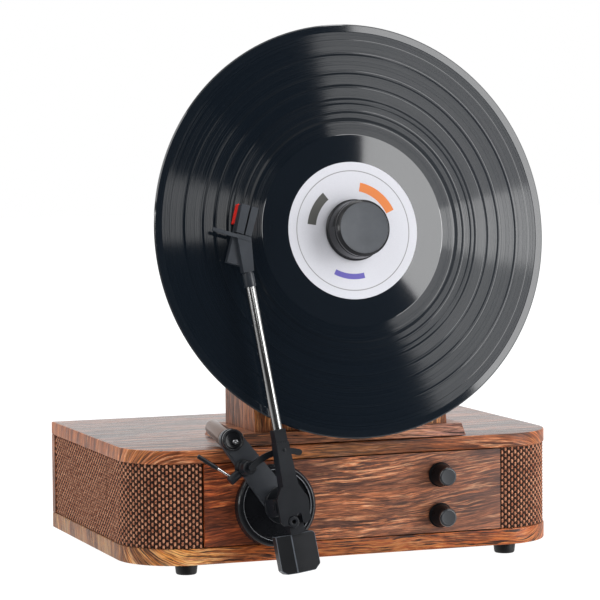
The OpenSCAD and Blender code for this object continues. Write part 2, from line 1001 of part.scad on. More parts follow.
// Points of an arc round a centre
function arc(centre, r, from, to, steps) = [
    for (i = [0:steps])
        let (turn = from + (to - from) * i / steps)
            centre + r * [cos(turn), sin(turn)]
];

// Loop round the belt rim and the pulley, at a given distance from both
function belt_loop(gap) =
    let (big = rim_r + gap, small = pulley_r + gap)
    let (spread = acos((big - small) / motor_drop))
        concat(arc([0, 0], big, spread - 90, 270 - spread, 72),
               arc([0, -motor_drop], small, 270 - spread, 270 + spread, 24));

module drive_belt() {
    color(black)
        deck()
            plate(belt_low, belt_low + belt_w)
                difference() {
                    polygon(belt_loop(pass_gap + belt_t));
                    polygon(belt_loop(pass_gap));
                }
}

module platter() {
    color(dark)
        deck()
            difference() {
                union() {
                    bar_z(platter_r, h_platter, h_mat);
                    bar_z(rim_r, h_rim, h_platter + 1);
                }
                bar_z(spindle_r + seat_fit, h_rim - 1, h_mat + 1);
            }
}

module platter_mat() {
    color(mat_grey)
        deck()
            difference() {
                bar_z(platter_r - 1, h_mat, h_record);
                bar_z(hole_r + 0.5, h_mat - 1, h_record + 1);
            }
}

module spindle() {
    color(steel)
        deck() {
            bar_z(spindle_r, h_face - bearing_bore + pass_gap, spindle_out - spindle_tip);
            translate([0, 0, spindle_out - spindle_tip])
                cylinder(r1 = spindle_r, r2 = spindle_r - spindle_taper, h = spindle_tip);
        }
}

// Record
module record() {
    edge = record_t * 0.3;
    color(vinyl)
        deck()
            rotate_extrude($fn = 180)
                polygon([[hole_r, h_record], [record_r - edge, h_record],
                         [record_r, h_record + edge], [record_r, -edge],
                         [record_r - edge, 0], [hole_r, 0]]);
}

module record_label() {
    color(paper)
        deck()
            difference() {
                bar_z(label_r, 0, label_t);
                bar_z(hole_r, -1, 1);
            }
}

module record_clamp() {
    foot = pad_z + pad_t;
    color(dark)
        deck()
            difference() {
                rotate_extrude()
                    polygon([[0, foot], [clamp_r, foot], [clamp_r, foot + clamp_lip],
                             [clamp_r - clamp_in, foot + clamp_lip + clamp_step],
                             [clamp_r - clamp_taper, clamp_h - clamp_edge],
                             [clamp_r - clamp_round, clamp_h], [0, clamp_h]]);
                bar_z(spindle_r + run_fit, foot - 1, spindle_out + 1);
            }
}

module clamp_pad() {
    color(black)
        deck()
            difference() {
                bar_z(clamp_r - 1, pad_z, pad_z + pad_t);
                bar_z(hole_r + 2, pad_z - 1, pad_z + pad_t + 1);
            }
}

// Electronics
module amp_board() {
    rise = z_floor + standoff_h;
    mid = board_y + board_d / 2;
    color(board_green)
        block([-board_w / 2, board_y, rise], [board_w / 2, board_y + board_d, rise + board_t]);
    color(steel)
        for (x = [-1, 1], y = [board_edge, board_d - board_edge])
            translate([x * (board_w / 2 - board_edge), board_y + y, 0])
                bar_z(standoff_r, z_floor, rise);
    color(steel)
        block([-board_w / 4, mid, rise + board_t], [board_w / 4, mid + sink_t, rise + board_t + sink_h]);
    color(black)
        for (i = [-1:1])
            translate([i * can_pitch, board_y + board_d / 4, rise + board_t])
                cylinder(r = can_r, h = can_h);
}

module jack_plate() {
    color(black)
        difference() {
            block([-jack_plate_w / 2, y_back, z_mid - jack_plate_h / 2],
                  [jack_plate_w / 2, y_back + jack_plate_t, z_mid + jack_plate_h / 2]);
            for (x = jack_places)
                jack_line(x) bar_z(jack_body_r + seam / 2, -1, jack_plate_t + 1);
        }
}

// A rear jack's body, through the plate and the back board, with a lip on the plate
module jack_body() {
    bar_z(jack_body_r, -back_t - jack_deep, jack_plate_t + 0.5);
    bar_z(jack_lip_r, jack_plate_t, jack_plate_t + jack_lip_t);
}

module rca_jacks() {
    outer = jack_plate_t + jack_lip_t;
    color(steel)
        for (i = [0, 1])
            jack_line(jack_places[i])
                difference() {
                    union() {
                        jack_body();
                        bar_z(phono_r, outer - 1, outer + phono_l);
                    }
                    bar_z(phono_bore_r, outer + 1, outer + phono_l + 1);
                }
}

module dc_inlet() {
    outer = jack_plate_t + jack_lip_t;
    color(black)
        jack_line(inlet_x) {
            difference() {
                jack_body();
                bar_z(inlet_r, outer - inlet_deep, outer + 1);
            }
            bar_z(inlet_pin_r, outer - inlet_deep - 1, outer - 1);
        }
}

// Knobs and their controls
module knob() {
    foot = front_gap;
    tip = foot + knob_l;
    difference() {
        rotate_extrude()
            polygon([[0, foot], [knob_ring_r - knob_edge, foot], [knob_ring_r, foot + knob_edge],
                     [knob_ring_r, foot + knob_ring_t],
                     [knob_ring_r - knob_edge, foot + knob_ring_t + knob_edge],
                     [knob_r, foot + knob_foot_h], [knob_r - knob_taper, tip - knob_edge],
                     [knob_r - knob_taper - knob_edge, tip], [0, tip]]);
        bar_z(knob_shaft_r + seat_fit, foot - 1, knob_bore);
    }
    bar_z(knob_shaft_r, control_wall + pass_gap - front_t - control_l, knob_bore - pass_gap);
}

module control() {
    difference() {
        union() {
            bar_z(control_r, -front_t - control_l, -front_t);
            bar_z(bush_r, -front_t - 1, 0);
        }
        bar_z(knob_shaft_r + run_fit, control_wall - front_t - control_l, 1);
    }
}

module volume_knob() {
    color(black) knob_line(volume_z) knob();
}

module volume_pot() {
    color(steel) knob_line(volume_z) control();
}

module selector_knob() {
    color(black) knob_line(selector_z) knob();
}

module selector_switch() {
    color(steel) knob_line(selector_z) control();
}

// Arm base: a dished disc that leans with the record, cut flat against the front board
module arm_base() {
    deep = arm_h - arm_base_r * tan(tilt) - 1;
    dish_r = arm_base_r - arm_rim_w;
    color(black)
        difference() {
            swivel()
                rotate_extrude($fn = 96)
                    polygon([[0, deep], [arm_base_r, deep], [arm_base_r, disc_up - arm_edge],
                             [arm_base_r - arm_edge, disc_up], [dish_r + dish_edge, disc_up],
                             [dish_r, disc_up - dish_deep], [hub_r, disc_up - dish_deep],
                             [hub_r, hub_up], [0, hub_up]]);
            block([-base_w, y_front, -base_d], [base_w, y_back, z_cap]);
            swivel() bar_z(swivel_r + run_fit, hub_up - swivel_deep - pass_gap, hub_up + 1);
            at_arm_screws() bar_z(arm_screw_r + seat_fit, -1, arm_screw_grip + pass_gap);
        }
}

module arm_screws() {
    color(steel)
        at_arm_screws()
            translate([0, 0, -front_t])
                mirror([0, 0, 1])
                    screw(arm_screw_r, arm_screw_r * 2, arm_screw_head, front_t + arm_screw_grip);
}

// Bracket: a plate with round ends that carries the lifter's barrel
module arm_bracket() {
    end_r = bracket_w / 2;
    color(black)
        bracket_line()
            difference() {
                union() {
                    plate(disc_up, bracket_up) {
                        translate([bracket_mid - end_r, 0]) square([bracket_w, bracket_l]);
                        for (y = [0, bracket_l])
                            translate([bracket_mid, y]) circle(end_r);
                    }
                    translate([lifter_x, lifter_y, 0]) bar_z(lifter_r, bracket_up - 1, lifter_up);
                }
                bar_z(hub_r + seam / 2, disc_up - 1, bracket_up + 1);
                translate([lifter_x, lifter_y, 0])
                    bar_z(lift_post_r + run_fit, cue_up + cue_r + pass_gap, lifter_up + 1);
                translate([0, lifter_y, cue_up])
                    bar_x(cue_r + run_fit, lifter_x - lifter_r - 1, lifter_x + lift_post_r);
            }
}

// Arm post: a chromed round bar behind the bracket's far end, rising to the back
module rest_post() {
    start = bracket_l * [-sin(bracket_angle), cos(bracket_angle)]
        + bracket_mid * [cos(bracket_angle), sin(bracket_angle)];
    up = arm_v + start[1];
    color(steel)
        difference() {
            translate([arm_x + start[0],
                       deck_y + up * sin(tilt) - disc_up * cos(tilt),
                       deck_z + up * cos(tilt) + disc_up * sin(tilt)])
                rotate([post_rise - 90, 0, 0])
                    translate([0, 0, -post_in])
                        cylinder(r1 = post_r, r2 = post_tip_r, h = post_l + post_in);
            deck() block([-base_w, -base_w, disc_up], [base_w, base_w, base_w]);
        }
}

// Yoke: turns on the swivel axis and holds the arm between two cheeks
module gimbal_yoke() {
    color(black)
        arm_line()
            difference() {
                union() {
                    bar_z(swivel_r, hub_up - swivel_deep, yoke_floor + 1);
                    bar_z(yoke_hub_r, yoke_floor, yoke_plate + 1);
                    block([-cheek_out, -yoke_half, yoke_plate], [cheek_out, yoke_half, yoke_up]);
                    for (side = [-1, 1]) {
                        x = side * (cheek_in + cheek_out) / 2;
                        block([x - cheek_t / 2, -cheek_half, yoke_up - 1],
                              [x + cheek_t / 2, cheek_half, lift_up]);
                        translate([0, 0, lift_up])
                            bar_x(cheek_top_r, x - cheek_t / 2, x + cheek_t / 2);
                    }
                }
                translate([0, 0, lift_up]) bar_x(pin_r + seat_fit, -cheek_out - 1, cheek_out + 1);
            }
}

module gimbal_pins() {
    color(steel)
        arm_line()
            for (turn = [0, 180])
                rotate([0, 0, turn])
                    translate([0, 0, lift_up]) {
                        bar_x(pin_r, pin_in, cheek_out);
                        bar_x(pin_head_r, cheek_out, cheek_out + pin_head_t);
                    }
}

// Arm housing: a block on the lift pins under an angular cover
module arm_housing() {
    color(black)
        arm_line()
            difference() {
                union() {
                    plate(cover_low, cover_up)
                        polygon([[-cover_neck, housing_end], [cover_neck, housing_end],
                                 [housing_half, cover_wide], [cover_taper, -cover_tail],
                                 [cover_end, -housing_back], [-cover_end, -housing_back],
                                 [-cover_taper, -cover_tail], [-housing_half, cover_wide]]);
                    block([-block_half, -block_l, block_low], [block_half, block_l, cover_low + 1]);
                    block([-sleeve_w / 2, block_l - 1, block_low + 2],
                          [sleeve_w / 2, housing_end, cover_low + 1]);
                }
                translate([0, 0, lift_up])
                    for (side = [-1, 1])
                        bar_x(pin_r + run_fit, min(side * pin_depth, side * housing_half * 2),
                              max(side * pin_depth, side * housing_half * 2));
                translate([0, -link_at, 0]) bar_z(link_r + seam / 2, cover_low - 1, cover_up + 1);
            }
}

module arm_sleeve() {
    half = sleeve_w / 2;
    tip = sleeve_tip_w / 2;
    color(black)
        arm_line()
            difference() {
                plate(sleeve_low, sleeve_low + sleeve_t)
                    polygon([[-half, housing_end], [half, housing_end],
                             [tip, sleeve_end], [-tip, sleeve_end]]);
                translate([0, 0, tube_up])
                    bar_y(tube_r + seat_fit, sleeve_end - sleeve_bore, sleeve_end + 1);
            }
}

module arm_tube() {
    color(steel)
        arm_line()
            translate([0, 0, tube_up])
                difference() {
                    bar_y(tube_r, tube_start, tube_end);
                    bar_y(tube_r - tube_wall, tube_start - 1, tube_end + 1);
                }
}

// Head: a collar on the tube, a neck, the turned carrier and the finger lift
module headshell() {
    half = head_w / 2;
    color(dark)
        difference() {
            union() {
                arm_line() {
                    translate([0, 0, tube_up]) bar_y(collar_r, collar_start, collar_end);
                    plate(neck_low, neck_up)
                        polygon([[-neck_half, collar_end - 1], [neck_half, collar_end - 1],
                                 [head_l + half - neck_in, head_s - neck_right],
                                 [head_l - half + neck_in, head_s + neck_left]]);
                }
                head_line() {
                    block([-half, -head_aft, carrier_low], [half, 1, carrier_up]);
                    block([-half, 0, carrier_low], [half, head_fore, fore_up]);
                    block([-finger_l, -finger_aft, neck_up - 1], [half - 1, 1, finger_up]);
                }
            }
            arm_line()
                translate([0, 0, tube_up]) bar_y(tube_r + seat_fit, collar_start - 1, tube_end + seat_fit);
            head_line()
                block([-slit_half, slit_from, slit_low], [slit_half, slit_to, neck_up + 1]);
        }
}

module cartridge() {
    half = head_w / 2 - 1;
    color(black)
        head_line()
            block([-half, -head_aft / 2, cart_low], [half, head_fore - 1, carrier_low]);
}

module stylus() {
    color(red)
        head_line() {
            block([-stylus_half, stylus_from, stylus_low], [stylus_half, stylus_to, cart_low]);
            translate([0, tip_at, tip_gap])
                cylinder(r1 = tip_r, r2 = tip_root_r, h = stylus_low - tip_gap);
        }
}

// Counterweight on its link under the housing's cover
module weight_link() {
    color(black)
        arm_line()
            difference() {
                union() {
                    translate([0, -link_at, 0]) bar_z(link_r, link_low + 1, cover_up - seam);
                    block([-link_half, -weight_back, link_low],
                          [link_half, link_fore, cover_low - seat_fit]);
                }
                translate([0, -link_at, 0]) bar_z(link_hole_r, cover_up - link_hole_l, cover_up + 1);
            }
}

// Outline of the counterweight, from its end towards the swivel axis backwards
module weight_outline(left, right) {
    near = -weight_back;
    far = near - weight_l;
    cut = weight_cut;
    polygon([[left + cut, near], [right - cut, near], [right, near - cut], [right, far + cut],
             [right - cut, far], [left + cut, far], [left, far + cut], [left, near - cut]]);
}

module counterweight() {
    half = weight_w / 2;
    color(black)
        arm_line() {
            plate(weight_low, weight_up - weight_step) weight_outline(-half, half);
            plate(weight_up - weight_step - 1, weight_up) weight_outline(-half / 3, half);
        }
}

// Cue lever: a shaft and a block with a thin rod and its grip
module cue_lever() {
    color(black)
        bracket_line()
            translate([0, lifter_y, cue_up]) {
                bar_x(cue_r, cue_block_in - 1, lifter_x - pass_gap);
                bar_x(cue_block_r, cue_block_out, cue_block_in);
                translate([(cue_block_in + cue_block_out) / 2 - 1, 0, 0])
                    rotate([0, 0, cue_lean]) {
                        bar_y(cue_rod_r, 0, cue_block_r + cue_l);
                        bar_y(grip_r, cue_block_r + cue_l - grip_l, cue_block_r + cue_l);
                    }
            }
}

// Lift bar: an arc round the swivel axis on a post in the lifter's barrel
module lift_bar() {
    start = 90 - bar_reach;
    sweep = bar_reach + bracket_angle + lifter_turn;
    color(black)
        swivel() {
            rotate([0, 0, start])
                rotate_extrude(angle = sweep)
                    translate([bar_r - bar_w / 2, bar_low])
                        square([bar_w, bar_t]);
            for (turn = [start, start + sweep])
                rotate([0, 0, turn])
                    translate([bar_r, 0, 0])
                        bar_z(bar_w / 2, bar_low, bar_up);
            rotate([0, 0, start + sweep])
                translate([bar_r, 0, 0])
                    bar_z(lift_post_r, cue_up + cue_r + 2 * pass_gap, bar_low + 1);
        }
}

top_board();
bottom_board();
front_board();
back_board();
left_grille_frame();
right_grille_frame();
left_grille_cloth();
right_grille_cloth();
left_baffle();
right_baffle();
left_speaker_basket();
right_speaker_basket();
left_speaker_cone();
right_speaker_cone();
speaker_screws();
feet();
foot_screws();
plinth();
tower_front();
tower_left();
tower_right();
tower_top();
tower_back();
cover_screws();
spindle_bearing();
motor();
motor_screws();
motor_pulley();
drive_belt();
platter();
platter_mat();
spindle();
record();
record_label();
record_clamp();
clamp_pad();
amp_board();
jack_plate();
rca_jacks();
dc_inlet();
volume_knob();
volume_pot();
selector_knob();
selector_switch();
arm_base();
arm_screws();
arm_bracket();
rest_post();
gimbal_yoke();
gimbal_pins();
arm_housing();
arm_sleeve();
arm_tube();
headshell();
cartridge();
stylus();
weight_link();
counterweight();
cue_lever();
lift_bar();
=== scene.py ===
"""Looks of the vertical record player: wood, woven grilles, record, tone arm and a plain studio."""
import json
from math import asin, copysign, cos, degrees, pi, radians, sin, tan

import bmesh
import bpy
from mathutils import Matrix, Vector


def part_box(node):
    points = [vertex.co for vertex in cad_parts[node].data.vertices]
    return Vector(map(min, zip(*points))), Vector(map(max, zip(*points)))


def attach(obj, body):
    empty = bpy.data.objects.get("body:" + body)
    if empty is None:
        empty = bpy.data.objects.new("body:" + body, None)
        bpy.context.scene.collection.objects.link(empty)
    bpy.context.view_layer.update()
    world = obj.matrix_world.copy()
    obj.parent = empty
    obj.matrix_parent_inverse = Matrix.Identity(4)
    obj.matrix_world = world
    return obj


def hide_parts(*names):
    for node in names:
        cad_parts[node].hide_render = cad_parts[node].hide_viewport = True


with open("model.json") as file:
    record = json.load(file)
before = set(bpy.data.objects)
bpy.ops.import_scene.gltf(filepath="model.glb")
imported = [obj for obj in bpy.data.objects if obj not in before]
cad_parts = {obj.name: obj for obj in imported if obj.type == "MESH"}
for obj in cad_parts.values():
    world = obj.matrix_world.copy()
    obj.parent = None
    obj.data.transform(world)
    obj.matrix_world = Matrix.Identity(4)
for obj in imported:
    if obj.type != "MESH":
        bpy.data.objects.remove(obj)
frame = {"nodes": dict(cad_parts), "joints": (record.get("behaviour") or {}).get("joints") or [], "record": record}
scene = bpy.context.scene
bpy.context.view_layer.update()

MM = 0.001
QUARTER = pi / 2
HERE = Matrix.Identity(4)
RECORD = frame["record"]
JOINTS = {joint["name"]: joint for joint in frame["joints"]}
BODY_OF = {node: body for body, nodes in RECORD["behaviour"]["bodies"].items() for node in nodes}


# ---------------- places

def spin(degrees, axis):
    """A turn about an axis."""
    return Matrix.Rotation(radians(degrees), 4, axis)


def leaning(point, turn=0.0):
    """Frame at a point, in metres: z out of the record's front, y up along it, turned about z by degrees."""
    out = Vector(JOINTS["platter_spin"]["axis"])
    right = Vector((1, 0, 0))
    place = Matrix((right, out.cross(right), out)).transposed().to_4x4()
    place.translation = point
    return place @ spin(turn, "Z")


def shifted(place, x=0.0, y=0.0, z=0.0):
    """The same frame moved along its own axes, in millimetres."""
    return place @ Matrix.Translation(Vector((x, y, z)) * MM)


def along_x(place):
    """The same frame with z along its x axis."""
    return place @ spin(90, "Y")


def along_y(place):
    """The same frame with z along its y axis."""
    return place @ spin(-90, "X")


def box_mm(node):
    """Lower and upper corner of a solid's box, in millimetres."""
    return [[value / MM for value in end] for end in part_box(node)]


ARM_TURN, BRACKET_TURN = 8.25, 37.5
PIVOT = JOINTS["arm_swing"]["pos_m"]
DECK = leaning(JOINTS["platter_spin"]["pos_m"])
SWIVEL, ARM, BRACKET = leaning(PIVOT), leaning(PIVOT, ARM_TURN), leaning(PIVOT, BRACKET_TURN)
FRONT_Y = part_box("front_board")[0][1]
UP_THE_TOWER = DECK.to_3x3() @ Vector((0, 1, 0))


# ---------------- meshes

# Angles in degrees: edges shaded sharp, edges that are rounded, and faces that count as one
SHARP, HARD, FLAT = 32.0, 25.0, 0.5
WELD = 1e-6         # metres within which points are one
ON_AXIS = 1e-4      # millimetres within which a point is on the axis
MOST_CUT = 0.45     # largest share of a side that a rounding takes


def new_object(name, data):
    """An object in the scene."""
    obj = bpy.data.objects.new(name, data)
    scene.collection.objects.link(obj)
    return obj


def finish_mesh(bm, name, sharp=SHARP):
    """Mesh from a bmesh, smooth but for edges sharper than an angle in degrees."""
    mesh = bpy.data.meshes.new(name)
    bmesh.ops.recalc_face_normals(bm, faces=bm.faces)
    bm.to_mesh(mesh)
    bm.free()
    mesh.shade_smooth()
    mesh.set_sharp_from_angle(angle=radians(sharp))
    return mesh


def add_piece(name, bm, material, like, place=HERE, extra=False, sharp=SHARP):
    """A piece that rides with the body of the node it is like, and stands for that node unless extra."""
    piece = new_object(name, finish_mesh(bm, name, sharp))
    piece.matrix_world = place
    piece.data.materials.append(material)
    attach(piece, BODY_OF[like])
    if not extra:
        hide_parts(like)
    return piece


def paint_faces(piece, material, chosen):
    """Gives the chosen faces of a piece a further material."""
    piece.data.materials.append(material)
    for face in piece.data.polygons:
        if chosen(face):
            face.material_index = len(piece.data.materials) - 1


def fillet(points, radius, steps=3):
    """Polyline with its inner corners rounded, each by at most the given radius."""
    points = [Vector(point) for point in points]
    done = points[:1]
    for before, here, after in zip(points, points[1:], points[2:]):
        to_before, to_after = before - here, after - here
        reach = min(radius, MOST_CUT * to_before.length, MOST_CUT * to_after.length)
        start = here + to_before.normalized() * reach
        end = here + to_after.normalized() * reach
        for i in range(steps + 1):
            t = i / steps
            done.append(start * (1 - t) ** 2 + here * 2 * t * (1 - t) + end * t ** 2)
    return done + points[-1:]


def turn_profile(bm, profile, segments=64, place=HERE):
    """Adds a solid of revolution about z. The profile's (radius, z) run from axis to axis, in millimetres."""
    angles = [2 * pi * i / segments for i in range(segments)]
    rings = []
    for r, z in profile:
        if r < ON_AXIS:
            rings.append([bm.verts.new(place @ Vector((0, 0, z * MM)))])
        else:
            rings.append([bm.verts.new(place @ Vector((r * MM * cos(a), r * MM * sin(a), z * MM)))
                          for a in angles])
    for low, high in zip(rings, rings[1:]):
        for i in range(segments):
            j = (i + 1) % segments
            corners = [low[i % len(low)], low[j % len(low)], high[j % len(high)], high[i % len(high)]]
            corners = [v for k, v in enumerate(corners) if v not in corners[:k]]
            if len(corners) > 2:
                bm.faces.new(corners)


def turned(name, profile, material, like, place=HERE, radius=0.0, segments=64, sharp=SHARP, extra=False):
    """A turned piece about the z axis of its place."""
    bm = bmesh.new()
    turn_profile(bm, fillet(profile, radius) if radius else profile, segments)
    return add_piece(name, bm, material, like, place, extra, sharp)


def ring_profile(inner, outer, start, end):
    """Closed profile of a ring or a straight tube."""
    return [(inner, start), (inner, end), (outer, end), (outer, start), (inner, start)]


def solid(*prisms):
    """Bmesh of upright prisms, each an outline, a lower and an upper level, in millimetres."""
    bm = bmesh.new()
    for outline, low, high in prisms:
        lower, upper = ([bm.verts.new(Vector((x, y, z)) * MM) for x, y in outline] for z in (low, high))
        bm.faces.new(lower[::-1])
        bm.faces.new(upper)
        for i in range(len(outline)):
            j = (i + 1) % len(outline)
            bm.faces.new((lower[i], lower[j], upper[j], upper[i]))
    return bm


def block(low, high):
    """Prism of a box between two corners, in millimetres."""
    return [(low[0], low[1]), (high[0], low[1]), (high[0], high[1]), (low[0], high[1])], low[2], high[2]


def arc(centre, radius, start, end, steps=16):
    """Points on an arc, by angles in degrees."""
    angles = (radians(start + (end - start) * i / steps) for i in range(steps + 1))
    return [(centre[0] + radius * cos(a), centre[1] + radius * sin(a)) for a in angles]


def slice_off(bm, point, normal):
    """Cuts away what lies beyond a plane and closes the cut."""
    bmesh.ops.bisect_plane(bm, geom=bm.verts[:] + bm.edges[:] + bm.faces[:], plane_co=point, plane_no=normal,
                           clear_outer=True)
    bmesh.ops.holes_fill(bm, edges=[e for e in bm.edges if e.is_boundary])


def moulded(name, bm, width, material, like, place=HERE, segments=2, edge=None, extra=False):
    """A piece with its hard edges rounded by a width in millimetres, and perhaps a lighter material on the
    roundings: a painted edge highlight.
    """
    hard = [e for e in bm.edges if e.is_manifold and e.calc_face_angle(0) > radians(HARD)]
    # The roundings may take the second, lighter material: a painted highlight along the edges
    bmesh.ops.bevel(bm, geom=hard, offset=width * MM, segments=segments, profile=0.5, affect="EDGES",
                    clamp_overlap=True, material=1 if edge else -1)
    piece = add_piece(name, bm, material, like, place, extra)
    if edge:
        piece.data.materials.append(edge)
    piece.modifiers.new("even_shading", "WEIGHTED_NORMAL").keep_sharp = True
    return piece


def softened(node, width, material, segments=2):
    """A solid again, with rounded edges."""
    bm = bmesh.new()
    bm.from_mesh(frame["nodes"][node].data)
    bmesh.ops.remove_doubles(bm, verts=bm.verts, dist=WELD)
    bmesh.ops.dissolve_limit(bm, angle_limit=radians(FLAT), verts=bm.verts, edges=bm.edges)
    return moulded(node + "_skin", bm, width, material, node, segments=segments)


SHORT_RUN, UPRIGHT = 0.4, 0.5   # least share of the grain in a face it runs along, and in z if upright
SIDE_STEP = 0.37                # metres between the grain on faces that look along x, y and z


def grain_uv(mesh, along, shift):
    """UVs in metres: u runs with the grain, v across it, on every face of a board."""
    layer = mesh.uv_layers.new(name="grain")
    along = Vector(along).normalized()
    for face in mesh.polygons:
        normal = face.normal
        u_axis = along - normal * along.dot(normal)
        if u_axis.length < SHORT_RUN:
            u_axis = Vector((0, 0, 1)) if abs(along.z) < UPRIGHT else Vector((1, 0, 0))
            u_axis -= normal * u_axis.dot(normal)
        u_axis.normalize()
        v_axis = normal.cross(u_axis)
        side = max(range(3), key=lambda k: abs(normal[k]))
        for loop in face.loop_indices:
            at = mesh.vertices[mesh.loops[loop].vertex_index].co
            layer.data[loop].uv = (at.dot(u_axis) + shift, at.dot(v_axis) + SIDE_STEP * side + shift)


# ---------------- materials

def rgb(code):
    """Linear colour from a six-digit sRGB code."""
    values = [int(code[i:i + 2], 16) / 255 for i in (0, 2, 4)]
    return tuple(v / 12.92 if v < 0.04045 else ((v + 0.055) / 1.055) ** 2.4 for v in values) + (1.0,)


def lit(code, share):
    """Linear colour from a code, dimmed or brightened."""
    return tuple(min(1.0, value * share) for value in rgb(code)[:3]) + (1.0,)


class Nodes:
    """A node tree, and short ways to add nodes to it. Colours may be given as codes."""

    def __init__(self, tree):
        self.tree = tree

    def set(self, node, sockets):
        for key, value in sockets.items():
            socket = node.inputs[key.replace("_", " ") if isinstance(key, str) else key]
            if isinstance(value, bpy.types.NodeSocket):
                self.tree.links.new(value, socket)
            else:
                socket.default_value = rgb(value) if isinstance(value, str) else value

    def add(self, kind, sockets=None, out=0, **settings):
        node = self.tree.nodes.new("ShaderNode" + kind)
        for key, value in settings.items():
            setattr(node, key, value)
        self.set(node, sockets or {})
        return node.outputs[out]

    def math(self, operation, a, b=0.0):
        return self.add("Math", {0: a, 1: b}, operation=operation)

    def times(self, a, b):
        return self.math("MULTIPLY", a, b)

    def vector(self, operation, *values, out=0):
        return self.add("VectorMath", dict(enumerate(values)), out, operation=operation)


class Paint(Nodes):
    """A material with one principled shader."""

    def __init__(self, name, **sockets):
        self.material = bpy.data.materials.new(name)
        self.material.use_nodes = True
        super().__init__(self.material.node_tree)
        self.shader = self.tree.nodes["Principled BSDF"]
        self.set(self.shader, sockets)

    def coords(self, kind="Object"):
        return self.add("TexCoord", out=kind)

    def from_axis(self):
        """Place in the plane across the piece's z axis, and how far it is from that axis."""
        flat = self.vector("MULTIPLY", self.coords(), (1, 1, 0))
        return flat, self.vector("LENGTH", flat, out="Value")

    def scaled(self, vector, scale, turn=0.0, shift=(0, 0, 0)):
        return self.add("Mapping", {"Vector": vector, "Location": shift,
                                    "Rotation": (0, 0, radians(turn)), "Scale": scale})

    def noise(self, vector, scale=1.0, detail=2.0, rough=0.5, twist=0.0):
        return self.add("TexNoise", {"Vector": vector, "Scale": scale, "Detail": detail,
                                     "Roughness": rough, "Distortion": twist})

    def ramp(self, value, stops):
        node = self.tree.nodes.new("ShaderNodeValToRGB")
        self.set(node, {"Fac": value})
        spots = node.color_ramp.elements
        while len(spots) < len(stops):
            spots.new(0.5)
        for spot, (at, tone) in zip(spots, stops):
            spot.position = at
            spot.color = rgb(tone) if isinstance(tone, str) else (tone, tone, tone, 1.0)
        return node.outputs[0]

    def rise(self, value, low, high):
        """0 up to one limit, 1 from another."""
        return self.ramp(value, [(low, 0.0), (high, 1.0)])

    def band(self, value, low, high):
        """1 where the value lies between two limits."""
        return self.times(self.math("GREATER_THAN", value, low), self.math("LESS_THAN", value, high))

    def mix(self, share, a, b, blend="MIX"):
        return self.add("Mix", {0: share, 6: a, 7: b}, out=2, data_type="RGBA", blend_type=blend)

    def bump(self, height, depth, strength=1.0):
        normal = self.add("Bump", {"Height": height, "Distance": depth, "Strength": strength})
        self.use(Normal=normal)
        return normal

    def use(self, **sockets):
        self.set(self.shader, sockets)
        return self.material


# The mauve here is the colour of a painted sheen (haze) laid over the wood
LINE, HAZE_MAUVE, WHITE = "2a1710", "6a5753", "ffffff"
FIGURE = ("c47244", "dea278")


